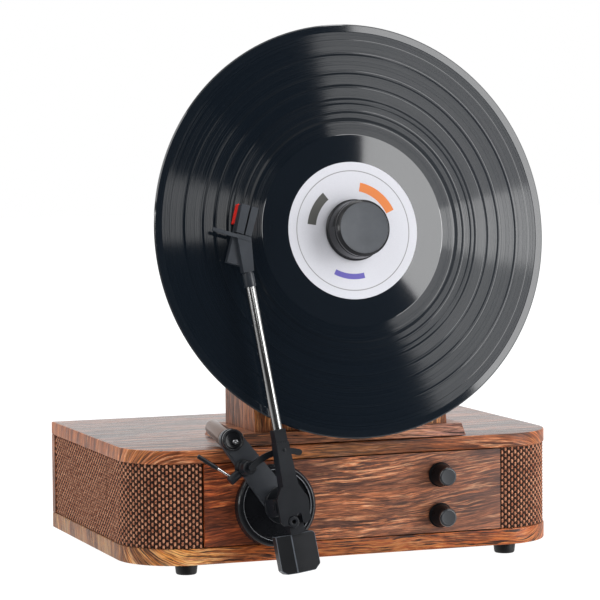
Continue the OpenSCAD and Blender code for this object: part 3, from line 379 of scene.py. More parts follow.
def wood(name, ground, figure=FIGURE, streaks=0.5, lines=0.5, turn=2.0, shift=0.0, rough=0.36, ripple=0.0,
         sheen=0.0, tints_and_painted_shade=None, pale=None):
    """Rosewood-look veneer: mauve-brown ground, ragged orange flames, fine dark ticks and long dark lines.

    The figure is the flames' two colours. The tinting pairs give a place along x, in metres, and the colour
    that the veneer is multiplied by there: some stand for its tone, some are painted shade. Pale is where a
    painted haze, a painted mauve sheen, starts, where that ends and how far it goes."""
    p = Paint(name, Specular_IOR_Level=0.35, Coat_Weight=sheen, Coat_Roughness=0.22)
    base = p.scaled(p.coords("UV"), (1, 1, 1), turn, (shift, 0.7 * shift, shift))
    sway = p.noise(p.scaled(base, (10, 26, 1)), detail=4.0)
    bend = p.add("CombineXYZ", {"Y": p.times(p.math("SUBTRACT", sway, 0.5), 0.016)})
    bent = p.vector("ADD", base, bend)

    def layer(along, across, start=(0, 0, 0), **look):
        return p.noise(p.scaled(bent, (along, across, 1), shift=start), **look)

    broad = layer(8, 60, detail=7.0, rough=0.68)
    flame = layer(30, 560, (3, 1, 0), detail=7.0, rough=0.66, twist=0.6)
    cluster = layer(15, 85, (7, 4, 0), detail=5.0, rough=0.6)
    tick = layer(30, 900, (1, 9, 0), detail=6.0, rough=0.64, twist=0.4)
    ring = layer(6, 85, (5, 2, 0), detail=3.0, rough=0.55)
    pores = layer(200, 2600, rough=0.6)
    fleck = layer(75, 1150, (2, 6, 0), detail=3.0, rough=0.6)

    def run(start, end):
        """0 to 1 between two places along x, with ragged borders."""
        along = p.add("SeparateXYZ", {"Vector": p.coords()})
        wander = p.math("ADD", along, p.times(p.math("SUBTRACT", cluster, 0.5), 0.12))
        return p.math("DIVIDE", p.math("SUBTRACT", wander, start), end - start)

    colour = p.ramp(broad, list(zip((0.38, 0.5, 0.62), ground)))
    glow = p.times(p.rise(flame, 0.485, 0.52), p.ramp(cluster, [(0.4, 0.06), (0.55, 1.0)]))
    colour = p.mix(p.times(glow, streaks), colour, p.mix(p.rise(flame, 0.54, 0.6), *figure))
    colour = p.mix(p.times(p.rise(tick, 0.53, 0.58), 0.85 * lines), colour, LINE)
    off = p.math("ABSOLUTE", p.math("SUBTRACT", ring, 0.5))
    colour = p.mix(p.times(p.ramp(off, [(0.0, 1.0), (0.012, 0.0)]), 0.5 * lines), colour, LINE)
    colour = p.mix(0.4, colour, p.ramp(pores, [(0.35, 0.25), (0.65, 1.0)]), "MULTIPLY")
    colour = p.mix(0.55, colour, p.ramp(fleck, [(0.42, 0.12), (0.58, 0.88)]), "OVERLAY")
    # Colour multiplied in along x: veneer tone in some places, painted shade in others
    if tints_and_painted_shade:
        first, last = tints_and_painted_shade[0][0], tints_and_painted_shade[-1][0]
        tint_and_shade = p.ramp(run(first, last), [((x - first) / (last - first), code) for x, code in tints_and_painted_shade])
        colour = p.mix(0.9, colour, tint_and_shade, "MULTIPLY")
    # Painted haze: the veneer pales towards mauve over a stretch along x, standing in for a sheen
    if pale:
        start, end, most = pale
        colour = p.mix(p.ramp(run(start, end), [(0.0, 0.0), (1.0, most)]), colour, HAZE_MAUVE)
    gloss = p.mix(0.5, pores, tick)
    if ripple:
        waves = layer(14, 130, detail=3.0, rough=0.55)
        colour = p.mix(0.85, colour, p.ramp(waves, [(0.4, 0.2), (0.52, 1.0)]), "MULTIPLY")
        p.use(Coat_Normal=p.bump(waves, ripple))
    else:
        p.bump(gloss, 1.2e-4, 0.5)
    return p.use(Base_Color=colour, Roughness=p.ramp(gloss, [(0.4, rough - 0.06), (0.6, rough + 0.2)]))


def plastic(name, code, rough, grain=900.0, depth=2e-5, spread=0.06, coat=0.0, specular=0.35):
    """Moulded or painted black parts: faint mottling, fine grain and uneven gloss."""
    p = Paint(name, Coat_Weight=coat, Coat_Roughness=0.08, Specular_IOR_Level=specular)
    at = p.coords()
    patch = p.noise(at, 45.0, 4.0, 0.6)
    p.bump(p.noise(at, grain, 3.0, 0.6), depth)
    return p.use(Base_Color=p.mix(p.rise(patch, 0.3, 0.7), lit(code, 0.82), lit(code, 1.18)),
                 Roughness=p.ramp(patch, [(0.25, rough - spread), (0.75, rough + spread)]))


def metal(name, code, rough, depth=1e-5):
    """Metal with fine drawn lines and uneven polish."""
    p = Paint(name, Metallic=1.0)
    at = p.coords()
    drawn = p.noise(p.scaled(at, (400, 400, 30)), detail=3.0, rough=0.6)
    patch = p.noise(at, 70.0, 4.0, 0.6)
    p.bump(drawn, depth)
    return p.use(Base_Color=p.mix(p.rise(patch, 0.3, 0.7), lit(code, 0.9), code),
                 Roughness=p.ramp(drawn, [(0.3, rough * 0.7), (0.7, rough * 1.4)]))


def speckled(name, codes, scale, rough, depth=1e-4, spread=0.08):
    """Matt material of small mixed flecks, such as fibreboard, felt or paper pulp."""
    p = Paint(name)
    fleck = p.noise(p.coords(), scale, 4.0, 0.7)
    p.bump(fleck, depth)
    return p.use(Base_Color=p.ramp(fleck, list(zip((0.32, 0.68), codes))),
                 Roughness=p.ramp(fleck, [(0.3, rough - spread), (0.7, min(1.0, rough + spread))]))


def yarn(name, codes, scale):
    """Twisted yarn with fibres of slightly different colours."""
    p = Paint(name, Specular_IOR_Level=0.2)
    at = p.coords()
    fibre = p.noise(p.scaled(at, scale), detail=3.0, rough=0.65)
    patch = p.noise(at, 330.0)
    dark, middle, pale = codes
    colour = p.mix(p.rise(patch, 0.35, 0.65), p.ramp(fibre, [(0.3, dark), (0.7, middle)]),
                   p.ramp(fibre, [(0.3, middle), (0.7, pale)]))
    p.bump(fibre, 8e-5)
    return p.use(Base_Color=colour, Roughness=p.ramp(fibre, [(0.3, 0.55), (0.7, 0.8)]))


RECORD_R, RECORD_T, HOLE_R, LABEL_R, LABEL_T = 150.8, 2.0, 3.65, 50.0, 0.15
GROOVES_IN, GROOVES_OUT = 70.2, 145.0
LANDS = (79.2, 88.0, 104.6, 116.6, 130.0, 139.5)
# Dark rings by radius and half width, and how their darkness runs across them
DARK_RINGS = ((81.2, 1.3), (86.4, 0.8), (92.6, 0.6), (96.2, 0.9), (106.1, 0.8), (114.6, 0.9), (128.5, 0.7))
RING_RUN = ((-1, 0.0), (-0.6, 1.0), (0.6, 1.0), (1, 0.0))
SMOOTH_LEAN = 0.1


def vinyl(name, ior, grooved):
    """Pressed record, smooth or grooved: its surface leans the reflection outwards, and carries some dust."""
    p = Paint(name, IOR=ior)
    flat, radius = p.from_axis()
    outwards = p.add("VectorTransform", {"Vector": p.vector("NORMALIZE", flat)},
                     vector_type="VECTOR", convert_from="OBJECT", convert_to="WORLD")
    rings = p.add("TexNoise", {"W": p.times(radius, 620.0), "Detail": 4.0, "Roughness": 0.7},
                  noise_dimensions="1D")
    if grooved:
        share = p.math("DIVIDE", radius, RECORD_R * MM)
        dark = p.ramp(share, [((r + k * half) / RECORD_R, v) for r, half in DARK_RINGS for k, v in RING_RUN])
        fine = p.ramp(rings, [(0.3, 0.17), (0.52, 0.24), (0.57, 0.26), (0.63, 0.62)])
        inner = p.ramp(share, [(0.5, 0.3), (0.68, 0.0)])
        lean = p.times(p.math("ADD", fine, p.times(dark, 0.3)), p.math("ADD", inner, 1.0))
        rough = p.ramp(rings, [(0.36, 0.07), (0.6, 0.13)])
    else:
        lean = SMOOTH_LEAN
        rough = p.ramp(rings, [(0.3, 0.05), (0.7, 0.09)])
    leant = p.add("VectorMath", {0: outwards, "Scale": lean}, operation="SCALE")
    normal = p.vector("ADD", p.add("NewGeometry", out="Normal"), leant)
    dust = p.times(p.rise(p.noise(p.coords(), 2400.0, 1.0), 0.74, 0.8), 0.2)
    tone = p.ramp(rings, [(0.35, "0a1017"), (0.5, "0e141b"), (0.68, "1b2229")])
    return p.use(Base_Color=p.mix(dust, tone, "7d838a"), Roughness=rough,
                 Normal=p.vector("NORMALIZE", normal))


# Ink, inner and outer radius in millimetres, and first and last angle in degrees
LABEL_MARKS = (("8a8a8c", 43.2, 43.9, -181, 181), ("d97a35", 29.0, 35.5, 24, 78),
               ("4a4a47", 29.0, 35.5, 128, 171), ("5d55a8", 31.5, 35.5, -118, -78))


def label_paper():
    """White label with a plain ring and three short arcs."""
    p = Paint("label_paper")
    flat, radius = p.from_axis()
    radius = p.times(radius, 1 / MM)
    x, y = (p.add("SeparateXYZ", {"Vector": flat}, out=axis) for axis in "XY")
    angle = p.times(p.math("ARCTAN2", y, x), degrees(1))
    fibre = p.noise(p.coords(), 1800.0, 4.0, 0.7)
    colour = p.ramp(fibre, [(0.3, "c4c5cc"), (0.7, "d0d0d7")])
    for ink, near, far, start, end in LABEL_MARKS:
        inside = p.times(p.band(radius, near, far), p.band(angle, start, end))
        colour = p.mix(inside, colour, ink)
    p.bump(fibre, 2e-5)
    return p.use(Base_Color=colour, Roughness=p.ramp(fibre, [(0.3, 0.5), (0.7, 0.62)]))


GROUND = ("4e3128", "764833", "955839")
DARK_GROUND = ("402821", "734b39", "a56a4b")
PALE_GROUND = ("5e3f35", "96675a", "b98a78")
# Brighter ground for the tower's front board: partly its own veneer, partly painted light
TOWER_GROUND_AND_PAINTED_LIGHT = ("6a3a22", "ab6236", "cc8347")
RED_EDGE = ("5c2f1a", "9a5229", "bf7338")
GOLD_EDGE = ("8e4c20", "da8c44", "f0b56e")
# The right part of the front board pales to mauve: a painted sheen. Its left end is tinted darker and more golden.
WOOD_FRONT = wood("wood_front", GROUND, streaks=0.85, lines=0.7, turn=-3.0, shift=0.2,
                  tints_and_painted_shade=[(-0.098, "f4b878"), (-0.024, WHITE)], pale=(0.01, 0.106, 0.34))
WOOD_TOP = wood("wood_top", GROUND, lines=0.8, turn=1.0, shift=1.3, rough=0.3, ripple=0.0014, sheen=0.45)
# The darker bluish-grey band in the middle of the top edge is painted shade, the shadow of the arm.
TOP_EDGE = wood("top_edge", RED_EDGE, streaks=0.75, lines=0.75, shift=2.1,
                tints_and_painted_shade=[(-0.055, WHITE), (-0.02, "b2bed2"), (0.04, "b2bed2"), (0.07, WHITE)])
# The darker tint at the left end falls on the side faces: painted shade, as they face away from the light. The
# edge is also darker in its middle.
BOTTOM_EDGE = wood("bottom_edge", GOLD_EDGE, ("e0a060", "efc08c"), streaks=0.7, lines=1.1, shift=2.9,
                   tints_and_painted_shade=[(-0.164, "b4aebc"), (-0.147, WHITE), (-0.12, WHITE), (-0.085, "d0a28c"),
                          (-0.01, "b18779"), (0.035, "b18779"), (0.07, "d0a28c")])
WOOD_BACK = wood("wood_back", GROUND, streaks=0.7, lines=0.6, shift=4.2)
# The plinth's left part is warmer and a little darker: partly veneer tone, partly painted shade of the record.
PLINTH = wood("wood_plinth", PALE_GROUND, lines=1.1, shift=3.8, tints_and_painted_shade=[(0.035, "ffe4ac"), (0.07, WHITE)])
# The tower's front board is brighter and more orange than its sides: partly its own veneer, partly painted light
# standing in for the fill light on it.
TOWER_FRONT_TONE_AND_PAINTED_LIGHT = wood("wood_tower_front_tone_and_painted_light", TOWER_GROUND_AND_PAINTED_LIGHT, ("cf864c", "dfa571"), streaks=0.8, lines=1.0,
                   shift=5.1)
WOOD_TOWER = wood("wood_tower", DARK_GROUND, streaks=0.6, lines=0.75, shift=3.4)
ARM_BLACK = plastic("arm_black", "111419", 0.36)
# Lighter grey laid on the rounded edges of the arm parts: painted highlights
ARM_EDGE_HIGHLIGHT = plastic("arm_edge", "565b62", 0.3)
# Light grey for the thin lip ring of the arm base: a painted highlight
LIP_HIGHLIGHT = plastic("lip_highlight", "9a9da2", 0.25)
# A lighter copy of the arm's black for the bracket: painted light, as if it were lit where it lies in shade
BRACKET_PAINTED_LIT = plastic("bracket_black_painted_lit", "3a3d42", 0.36)
GLOSS_BLACK = plastic("gloss_black", "18191c", 0.14)
KNOB_BLACK = plastic("knob_black", "131416", 0.3, specular=0.06)
KNOB_RIM = plastic("knob_rim", "18191c", 0.2, depth=2e-6, coat=1.0)
# Lighter grey for the knobs' front faces: a painted sheen on black
KNOB_FACE_PAINTED_SHEEN = plastic("knob_face_painted_sheen", "37393c", 0.4)
CLAMP_BLACK = plastic("clamp_black", "1f2023", 0.2)
# Lighter grey for the clamp's front face: a painted sheen of the bright front on satin black
CLAMP_FACE_PAINTED_SHEEN = plastic("clamp_face_painted_sheen", "4c4f54", 0.42)
HEAD_BLACK = plastic("head_black", "30343a", 0.38)
COLLAR_BLACK = plastic("collar_black", "282c32", 0.3)
WEIGHT_IRON = plastic("weight_iron", "131519", 0.42, grain=1600.0, depth=5e-5)
JACK_BLACK = plastic("jack_black", "202022", 0.4)
RUBBER = plastic("rubber", "161617", 0.5, grain=1400.0, depth=4e-5)
BASKET = plastic("speaker_steel", "2a2a2b", 0.5)
STYLUS_RED = plastic("stylus_red", "ee2c22", 0.22)
CHROME = metal("chrome", "e6e7ea", 0.12, depth=3e-7)
TUBE_CHROME = metal("tube_chrome", "a6a6a6", 0.22, depth=3e-7)
# Chrome tinted brown-grey for the rest post: a painted reflection of the surrounding wood
POST_CHROME_PAINTED_REFLECTION = metal("post_chrome_painted_reflection", "7c6a62", 0.2, depth=4e-6)
STEEL = metal("steel", "b4b5b8", 0.28)
BRASS = metal("brass", "c9a24f", 0.25)
NICKEL = metal("jack_metal", "d2b673", 0.2)
ALLOY = metal("platter_alloy", "38393c", 0.35)
MAT_FELT = speckled("mat_felt", ("2a2a2c", "3a3a3d"), 900.0, 0.9)
PAPER_CONE = speckled("speaker_paper", ("1c1c1d", "2c2c2d"), 700.0, 0.9)
FIBREBOARD = speckled("fibreboard", ("3a2c20", "4e3b2a"), 500.0, 0.85)
BOARD_GREEN = speckled("circuit_board", ("1f4a2c", "2f6b3c"), 260.0, 0.45, 2e-5)
CLOTH_BACK = speckled("cloth_back", ("140d0b", "221815"), 1200.0, 0.95)
COPPER_YARN = yarn("copper_yarn", ("6c3926", "ae6d50", "e0ab8a"), (2400, 2400, 420))
BLACK_YARN = yarn("black_yarn", ("170c07", "2a170e", "402618"), (420, 420, 2400))
VINYL = vinyl("vinyl_grooves", 1.36, True)
SMOOTH_VINYL = vinyl("vinyl_smooth", 1.8, False)
LABEL_PAPER = label_paper()


# ---------------- cabinet

HALF_W, HALF_D = box_mm("top_board")[1][:2]
CORNER_R, CORNER_STEPS = 45.0, 28
CORNER_X, CORNER_Y = HALF_W - CORNER_R, CORNER_R - HALF_D
BOARD_ROUND, BOARD_STEPS, BOARD_SHARP, BACK_V = 0.9, 3, 40.0, 0.5
EDGE_LEAN = 78.0    # degrees by which the grain on a board's edge leans at the end of a corner
JOINT = 0.7


def corner(side, inset, turn):
    """Point on a round front corner; turn runs from 0 at the front to 1 at the cabinet's end."""
    angle = QUARTER * turn
    r = CORNER_R - inset
    return Vector((side * (CORNER_X + r * sin(angle)), CORNER_Y - r * cos(angle)))


def board_outline(inset):
    """Outline of the cabinet from its back left corner round the front to the back right."""
    turns = [i / CORNER_STEPS for i in range(CORNER_STEPS + 1)]
    back = HALF_D - inset
    points = [Vector((inset - HALF_W, back))]
    points += [corner(-1, inset, t) for t in reversed(turns)]
    points += [corner(1, inset, t) for t in turns]
    return points + [Vector((HALF_W - inset, back))]


def edge_grain(outline, lean):
    """For each outline point, the grain's angle on the edge and its place along and across the grain."""
    marks, u, v = [], 0.0, 0.0
    for i, here in enumerate(outline):
        turned_by = min(1.0, max(0.0, (abs(here.x) - CORNER_X) / CORNER_R))
        angle = copysign(radians(lean) * asin(turned_by) / QUARTER, -here.x * lean)
        if i:
            step = (here - outline[i - 1]).length
            middle = (angle + marks[-1][0]) / 2
            u, v = u + step * cos(middle), v - step * sin(middle)
        marks.append((angle, u, v))
    return marks


def rounded_board(node, lean, edge):
    """Top or bottom board with eased edges. The grain on its edge leans in the corners."""
    low, high = (end[2] for end in box_mm(node))
    turns = [QUARTER * i / BOARD_STEPS for i in range(BOARD_STEPS + 1)]
    profile = [(BOARD_ROUND * (1 - sin(a)), low + BOARD_ROUND * (1 - cos(a))) for a in turns]
    profile += [(inset, high + low - z) for inset, z in reversed(profile)]
    bm = bmesh.new()
    uv = bm.loops.layers.uv.new("grain")
    marks = edge_grain(board_outline(0.0), lean)
    middle = (low + high) / 2
    rings = [[bm.verts.new(Vector((p.x, p.y, z)) * MM) for p in board_outline(inset)] for inset, z in profile]
    count = len(marks)

    def edge_uv(k, z):
        angle, u, v = marks[k]
        return ((u + (z - middle) * sin(angle)) * MM, (v + (z - middle) * cos(angle)) * MM)

    for below, above, (_, z0), (_, z1) in zip(rings, rings[1:], profile, profile[1:]):
        for k in range(count):
            n = (k + 1) % count
            face = bm.faces.new((below[k], below[n], above[n], above[k]))
            face.material_index = 1
            spots = ((k, z0), (n, z0), (n, z1), (k, z1))
            for loop, (at, z) in zip(face.loops, spots):
                loop[uv].uv = edge_uv(at, z) if n else (loop.vert.co.x, loop.vert.co.z + BACK_V)
    for ring in (rings[0][::-1], rings[-1]):
        for loop in bm.faces.new(ring).loops:
            loop[uv].uv = (loop.vert.co.x, loop.vert.co.y)
    piece = add_piece(node + "_skin", bm, WOOD_TOP, node, sharp=BOARD_SHARP)
    piece.data.materials.append(edge)


def wooden(node, along, material, width, shift, joints=(0.0, 0.0, 0.0)):
    """A board with eased edges, its grain along a direction, and dark joints below, above and at its ends."""
    piece = softened(node, width, material)
    low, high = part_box(node)
    below, above, ends = joints
    for vertex in piece.data.vertices:
        share = (vertex.co.z - low[2]) / (high[2] - low[2])
        vertex.co.z += (below * (1 - share) - above * share) * MM
        vertex.co.x *= 1 - 2 * ends * MM / (high[0] - low[0])
    grain_uv(piece.data, along, shift)


rounded_board("top_board", EDGE_LEAN, TOP_EDGE)
rounded_board("bottom_board", -EDGE_LEAN, BOTTOM_EDGE)
wooden("front_board", (1, 0, 0), WOOD_FRONT, 0.6, 0.0, (JOINT, JOINT, JOINT))
wooden("back_board", (1, 0, 0), WOOD_BACK, 0.6, 0.11)
wooden("plinth", (1, 0, 0), PLINTH, 0.7, 0.23, (JOINT, 0.0, 0.0))
wooden("tower_front", UP_THE_TOWER, TOWER_FRONT_TONE_AND_PAINTED_LIGHT, 0.6, 0.31)
wooden("tower_left", (0, 0, 1), WOOD_TOWER, 0.5, 0.47)
wooden("tower_right", (0, 0, 1), WOOD_TOWER, 0.5, 0.53)
wooden("tower_top", (1, 0, 0), WOOD_TOWER, 0.6, 0.61)
wooden("tower_back", (0, 0, 1), WOOD_TOWER, 0.5, 0.71)

FOOT_R, FOOT_LOW_R, FOOT_HEAD_R, FOOT_HEAD_IN, FOOT_BORE_R, FOOT_ROUND = 8.4, 7.5, 4.1, 3.0, 1.92, 1.5


def feet():
    """Four turned feet with rounded lower edges and a sunk screw hole."""
    (x0, y0, _), (x1, y1, high) = box_mm("feet")
    profile = [(FOOT_BORE_R, high), (FOOT_BORE_R, FOOT_HEAD_IN), (FOOT_HEAD_R, FOOT_HEAD_IN),
               (FOOT_HEAD_R, 0.0), (FOOT_LOW_R, 0.0), (FOOT_R, high), (FOOT_BORE_R, high)]
    bm = bmesh.new()
    for x in (x0 + FOOT_R, x1 - FOOT_R):
        for y in (y0 + FOOT_R, y1 - FOOT_R):
            turn_profile(bm, fillet(profile, FOOT_ROUND), 48, shifted(HERE, x, y))
    bmesh.ops.remove_doubles(bm, verts=bm.verts, dist=WELD)
    add_piece("feet_skin", bm, RUBBER, "feet")


feet()


# ---------------- grille cloth

WARP_PITCH, WEFT_PITCH = 2.7, 2.25
WARP_W, WEFT_W = 1.65, 1.9
YARN_UP, YARN_WAVE = 0.6, 0.42
SEAM_Y, SEAM_THIN = -33.5, 0.45
CLOTH_INSET = 1.75
ARC_STEPS, WARP_STEPS, WEFT_STEPS, SHEET_STEPS = 4, 4, 3, 160
ALL_SMOOTH = 180.0


class Strip:
    """The bent strip of a grille: places by length from the front board, height and depth."""

    def __init__(self, side):
        (_, _, self.low), (x, y, self.high) = box_mm("left_grille_cloth")
        self.side = side
        self.straight = CORNER_X + x
        self.arc = QUARTER * (CORNER_R - CLOTH_INSET)
        self.length = self.straight + self.arc + y - CORNER_Y
        self.seam = self.straight + self.arc + SEAM_Y - CORNER_Y

    def place(self, s, z, out=0.0):
        inset = CLOTH_INSET - out
        if s < self.straight:
            flat = Vector((self.side * (CORNER_X - self.straight + s), inset - HALF_D))
        elif s < self.straight + self.arc:
            flat = corner(self.side, inset, (s - self.straight) / self.arc)
        else:
            flat = Vector((self.side * (HALF_W - inset), CORNER_Y + s - self.straight - self.arc))
        return Vector((flat.x, flat.y, z)) * MM


def yarn_rows(bm, rows):
    """Adds a ribbed surface through rows of points."""
    grid = [[bm.verts.new(p) for p in row] for row in rows]
    for a, b in zip(grid, grid[1:]):
        for i in range(len(a) - 1):
            bm.faces.new((a[i], a[i + 1], b[i + 1], b[i]))


def grille(side, node):
    """Cloth over a grille: a dark backing sheet with copper warp and black weft woven over it, and a seam."""
    strip = Strip(side)
    height = strip.high - strip.low
    warps, wefts = int(strip.length / WARP_PITCH), int(height / WEFT_PITCH)
    warp_pitch, weft_pitch = strip.length / warps, height / wefts
    section = arc((0.0, 0.0), 1.0, 0, 180, ARC_STEPS)

    def warp_row(i, share):
        s, z = (i + 0.5) * warp_pitch, height * share
        width = WARP_W * (SEAM_THIN if abs(s - strip.seam) < warp_pitch / 2 else 1.0)
        wave = YARN_WAVE * cos(pi * (z / weft_pitch - 0.5 + i))
        return [strip.place(s + width / 2 * a, strip.low + z, wave + YARN_UP * b) for a, b in section]

    def weft_row(j, share):
        s, z = strip.length * share, strip.low + (j + 0.5) * weft_pitch
        wave = -YARN_WAVE * cos(pi * (s / warp_pitch - 0.5 + j))
        return [strip.place(s, z + WEFT_W / 2 * a, wave + YARN_UP * b) for a, b in section]

    def woven(name, material, row, count, steps):
        bm = bmesh.new()
        for i in range(count):
            yarn_rows(bm, [row(i, k / steps) for k in range(steps + 1)])
        return add_piece(node + name, bm, material, node, extra=True, sharp=ALL_SMOOTH)

    bm = bmesh.new()
    yarn_rows(bm, [[strip.place(strip.length * i / SHEET_STEPS, strip.low + height * k)
                    for k in (0.0, 0.5, 1.0)] for i in range(SHEET_STEPS + 1)])
    backing = add_piece(node + "_backing", bm, CLOTH_BACK, node)
    warp = woven("_warp", COPPER_YARN, warp_row, warps, WARP_STEPS * wefts)
    weft = woven("_weft", BLACK_YARN, weft_row, wefts, WEFT_STEPS * warps)


grille(-1, "left_grille_cloth")
grille(1, "right_grille_cloth")


# ---------------- record, platter and clamp

LAND_W, GROOVE_DEPTH, BEAD_W, RIM_W, RIM_IN = 0.3, 0.05, 0.4, 0.9, 0.7
GROOVE_SHARP = 5.0
LEVEL, UPWARD = 0.99, 0.9   # least z in the normal of a flat face and of one that looks outwards
CLAMP_FACE_UP = 22.0


def record_side(face, into):
    """Profile of one side of the record, outwards, by its level and the grooves' way in."""
    sunk = face + into * GROOVE_DEPTH
    lands = [(r + k * LAND_W / 2, sunk) for r in LANDS for k in (-1, 1)]
    return [(HOLE_R, face), (GROOVES_IN - BEAD_W, face), (GROOVES_IN, sunk)] + lands + [
        (GROOVES_OUT, sunk), (GROOVES_OUT + BEAD_W, face), (RECORD_R - RIM_W, face)]


def in_track(face):
    """Whether a face of the record lies in a track, not on the smooth lands between the tracks."""
    r = face.center.xy.length / MM
    on_land = any(abs(r - land) < LAND_W / 2 for land in LANDS)
    return abs(face.normal.z) > LEVEL and GROOVES_IN < r < GROOVES_OUT and not on_land


# Record with a raised rim and middle, and grooves between them
rim = [(RECORD_R, RIM_IN - RECORD_T), (RECORD_R, -RIM_IN)]
disc = turned("record_disc", record_side(-RECORD_T, 1) + rim + record_side(0.0, -1)[::-1]
              + [(HOLE_R, -RECORD_T)], SMOOTH_VINYL, "record", DECK, segments=256, sharp=GROOVE_SHARP)
paint_faces(disc, VINYL, in_track)
turned("label_disc", ring_profile(HOLE_R, LABEL_R, 0.0, LABEL_T), LABEL_PAPER, "record_label", DECK,
       segments=160)
puck = turned("clamp_puck", [
    (0.0, 13.0), (3.63, 13.0), (3.63, 2.35), (21.8, 2.35), (22.4, 2.9), (22.4, 4.6), (21.5, 5.2), (21.5, 5.7),
    (21.2, 6.0), (20.8, 16.8), (20.2, 17.1), (20.2, 17.7), (20.6, 18.0), (20.5, 20.2), (18.4, 22.5),
    (17.9, 22.5), (17.8, 22.38), (0.0, 22.38)], CLAMP_BLACK, "record_clamp", DECK, 0.2, 128)
# The front face takes the lighter grey: a painted sheen
paint_faces(puck, CLAMP_FACE_PAINTED_SHEEN, lambda face: face.normal.z > UPWARD and face.center.z > CLAMP_FACE_UP * MM)
turned("platter_disc", [(3.6, -3.5), (3.6, -18.5), (65.0, -18.5), (65.0, -8.5), (90.0, -8.5), (90.0, -3.5),
                        (3.6, -3.5)], ALLOY, "platter", DECK, 0.8, 160)
turned("mat_disc", ring_profile(4.15, 89.0, -2.0, -3.5), MAT_FELT, "platter_mat", DECK, 0.4, 160)


# ---------------- knobs

KNOB_SHAFT_R, KNOB_FOOT_R, KNOB_GRIP_R, KNOB_FACE_R = 3.0, 9.2, 8.4, 5.2
KNOB_GAP, KNOB_RIM_T = 0.5, 1.95


def knob(node):
    """Knob with a foot ring, a tapered grip and a dished front with a rounded rim."""
    low, high = box_mm(node)
    wall = FRONT_Y / MM
    place = shifted(HERE, (low[0] + high[0]) / 2, wall, (low[2] + high[2]) / 2) @ spin(90, "X")
    back, front = wall - high[1], wall - low[1]
    skin = turned(node + "_skin", [
        (0.0, back), (KNOB_SHAFT_R, back), (KNOB_SHAFT_R, KNOB_GAP), (KNOB_GRIP_R, KNOB_GAP),
        (KNOB_FOOT_R, 1.3), (KNOB_FOOT_R, 2.9), (8.9, 3.3), (KNOB_GRIP_R, 3.5), (6.95, front - 1.9),
        (6.65, front - 0.95), (6.05, front - 0.3), (KNOB_FACE_R, front), (4.9, front - 0.1),
        (0.0, front - 0.3)], KNOB_BLACK, node, place, 0.35, 72)
    rim = (front - KNOB_RIM_T) * MM
    # The flat front takes the lighter grey: a painted sheen
    paint_faces(skin, KNOB_FACE_PAINTED_SHEEN, lambda face: face.center.z > rim and face.normal.z > UPWARD)
    paint_faces(skin, KNOB_RIM, lambda face: face.center.z > rim and face.normal.z <= UPWARD)


knob("volume_knob")
knob("selector_knob")


# ---------------- tone arm

DISC_UP, HUB_UP = -17.024, -12.024
LIP_IN, LIP_OUT = 25.2, 25.9
LIFTER, CUP_AT, LINK_AT = (-3.891, 38.303), (2.6, 58.8), (-2.4, -11.6)
BLOCK_HALF, CHEEK_IN, CHEEK_T, CHEEK_HALF = 9.9, 10.3, 2.5, 6.2
TUBE_SHAPE, TUBE_UP = (2.9, 3.4, 44.8, 161.5), 13.0
HEAD_AT, HEAD_TURN = (1.35, 195.1), -25.0
HEAD = shifted(ARM, *HEAD_AT) @ spin(HEAD_TURN, "Z")
TUBE = along_y(shifted(ARM, z=TUBE_UP))


def arm_base():
    """Dished disc that leans with the record, cut flat against the front board."""
    bm = bmesh.new()
    turn_profile(bm, fillet([
        (0.0, -23.3), (3.05, -23.3), (3.05, HUB_UP), (6.5, HUB_UP), (6.5, DISC_UP - 2.5),
        (24.5, DISC_UP - 2.5), (25.7, DISC_UP), (28.2, DISC_UP), (30.0, DISC_UP - 1.8), (30.0, -30.1),
        (0.0, -30.1)], 0.6), 128)
    back = SWIVEL.inverted()
    slice_off(bm, back @ Vector((0, FRONT_Y, 0)), back.to_3x3() @ Vector((0, 1, 0)))
    base = add_piece("arm_base_skin", bm, GLOSS_BLACK, "arm_base", SWIVEL)
    # The lip ring takes a light grey: a painted highlight
    paint_faces(base, LIP_HIGHLIGHT, lambda face: LIP_IN < face.center.xy.length / MM < LIP_OUT)


def arm_bracket():
    """Flat bracket from the swivel to the post, with the lifter's barrel on it."""
    bar = arc((1.3, 0.0), 10.3, 180, 360) + arc(CUP_AT, 8.4, 8, 176)
    pad = arc((2.2, 47.0), 7.4, 180, 360) + arc((2.6, 57.5), 7.2, 0, 180)
    bm = solid((bar, DISC_UP, DISC_UP + 4.0), (pad, DISC_UP + 3.0, DISC_UP + 4.8))
    moulded("arm_bracket_skin", bm, 0.5, BRACKET_PAINTED_LIT, "arm_bracket", BRACKET, 1, ARM_EDGE_HIGHLIGHT)
    turned("lifter_barrel", [
        (2.15, -6.5), (2.15, 3.4), (4.2, 3.4), (5.0, 2.6), (5.0, -4.2), (5.5, -4.6), (5.5, -5.6), (5.0, -6.0),
        (5.0, -10.0), (6.4, -10.6), (6.4, -13.2), (2.15, -13.2), (2.15, -6.5)],
        ARM_BLACK, "arm_bracket", shifted(BRACKET, *LIFTER), 0.3, 56, extra=True)
    turned("post_cup", [
        (0.0, -12.5), (8.0, -12.5), (8.0, -9.2), (7.3, -8.6), (6.6, -9.0), (5.4, -11.4), (0.0, -12.0)],
        GLOSS_BLACK, "arm_bracket", shifted(BRACKET, *CUP_AT), 0.4, extra=True)
    turned("cup_screw", [
        (0.0, -11.9), (2.1, -11.9), (2.1, -10.9), (1.5, -10.4), (0.5, -10.4), (0.4, -10.9), (0.0, -10.9)],
        STEEL, "arm_bracket", shifted(BRACKET, 3.4, 56.4), 0.2, 32, extra=True)


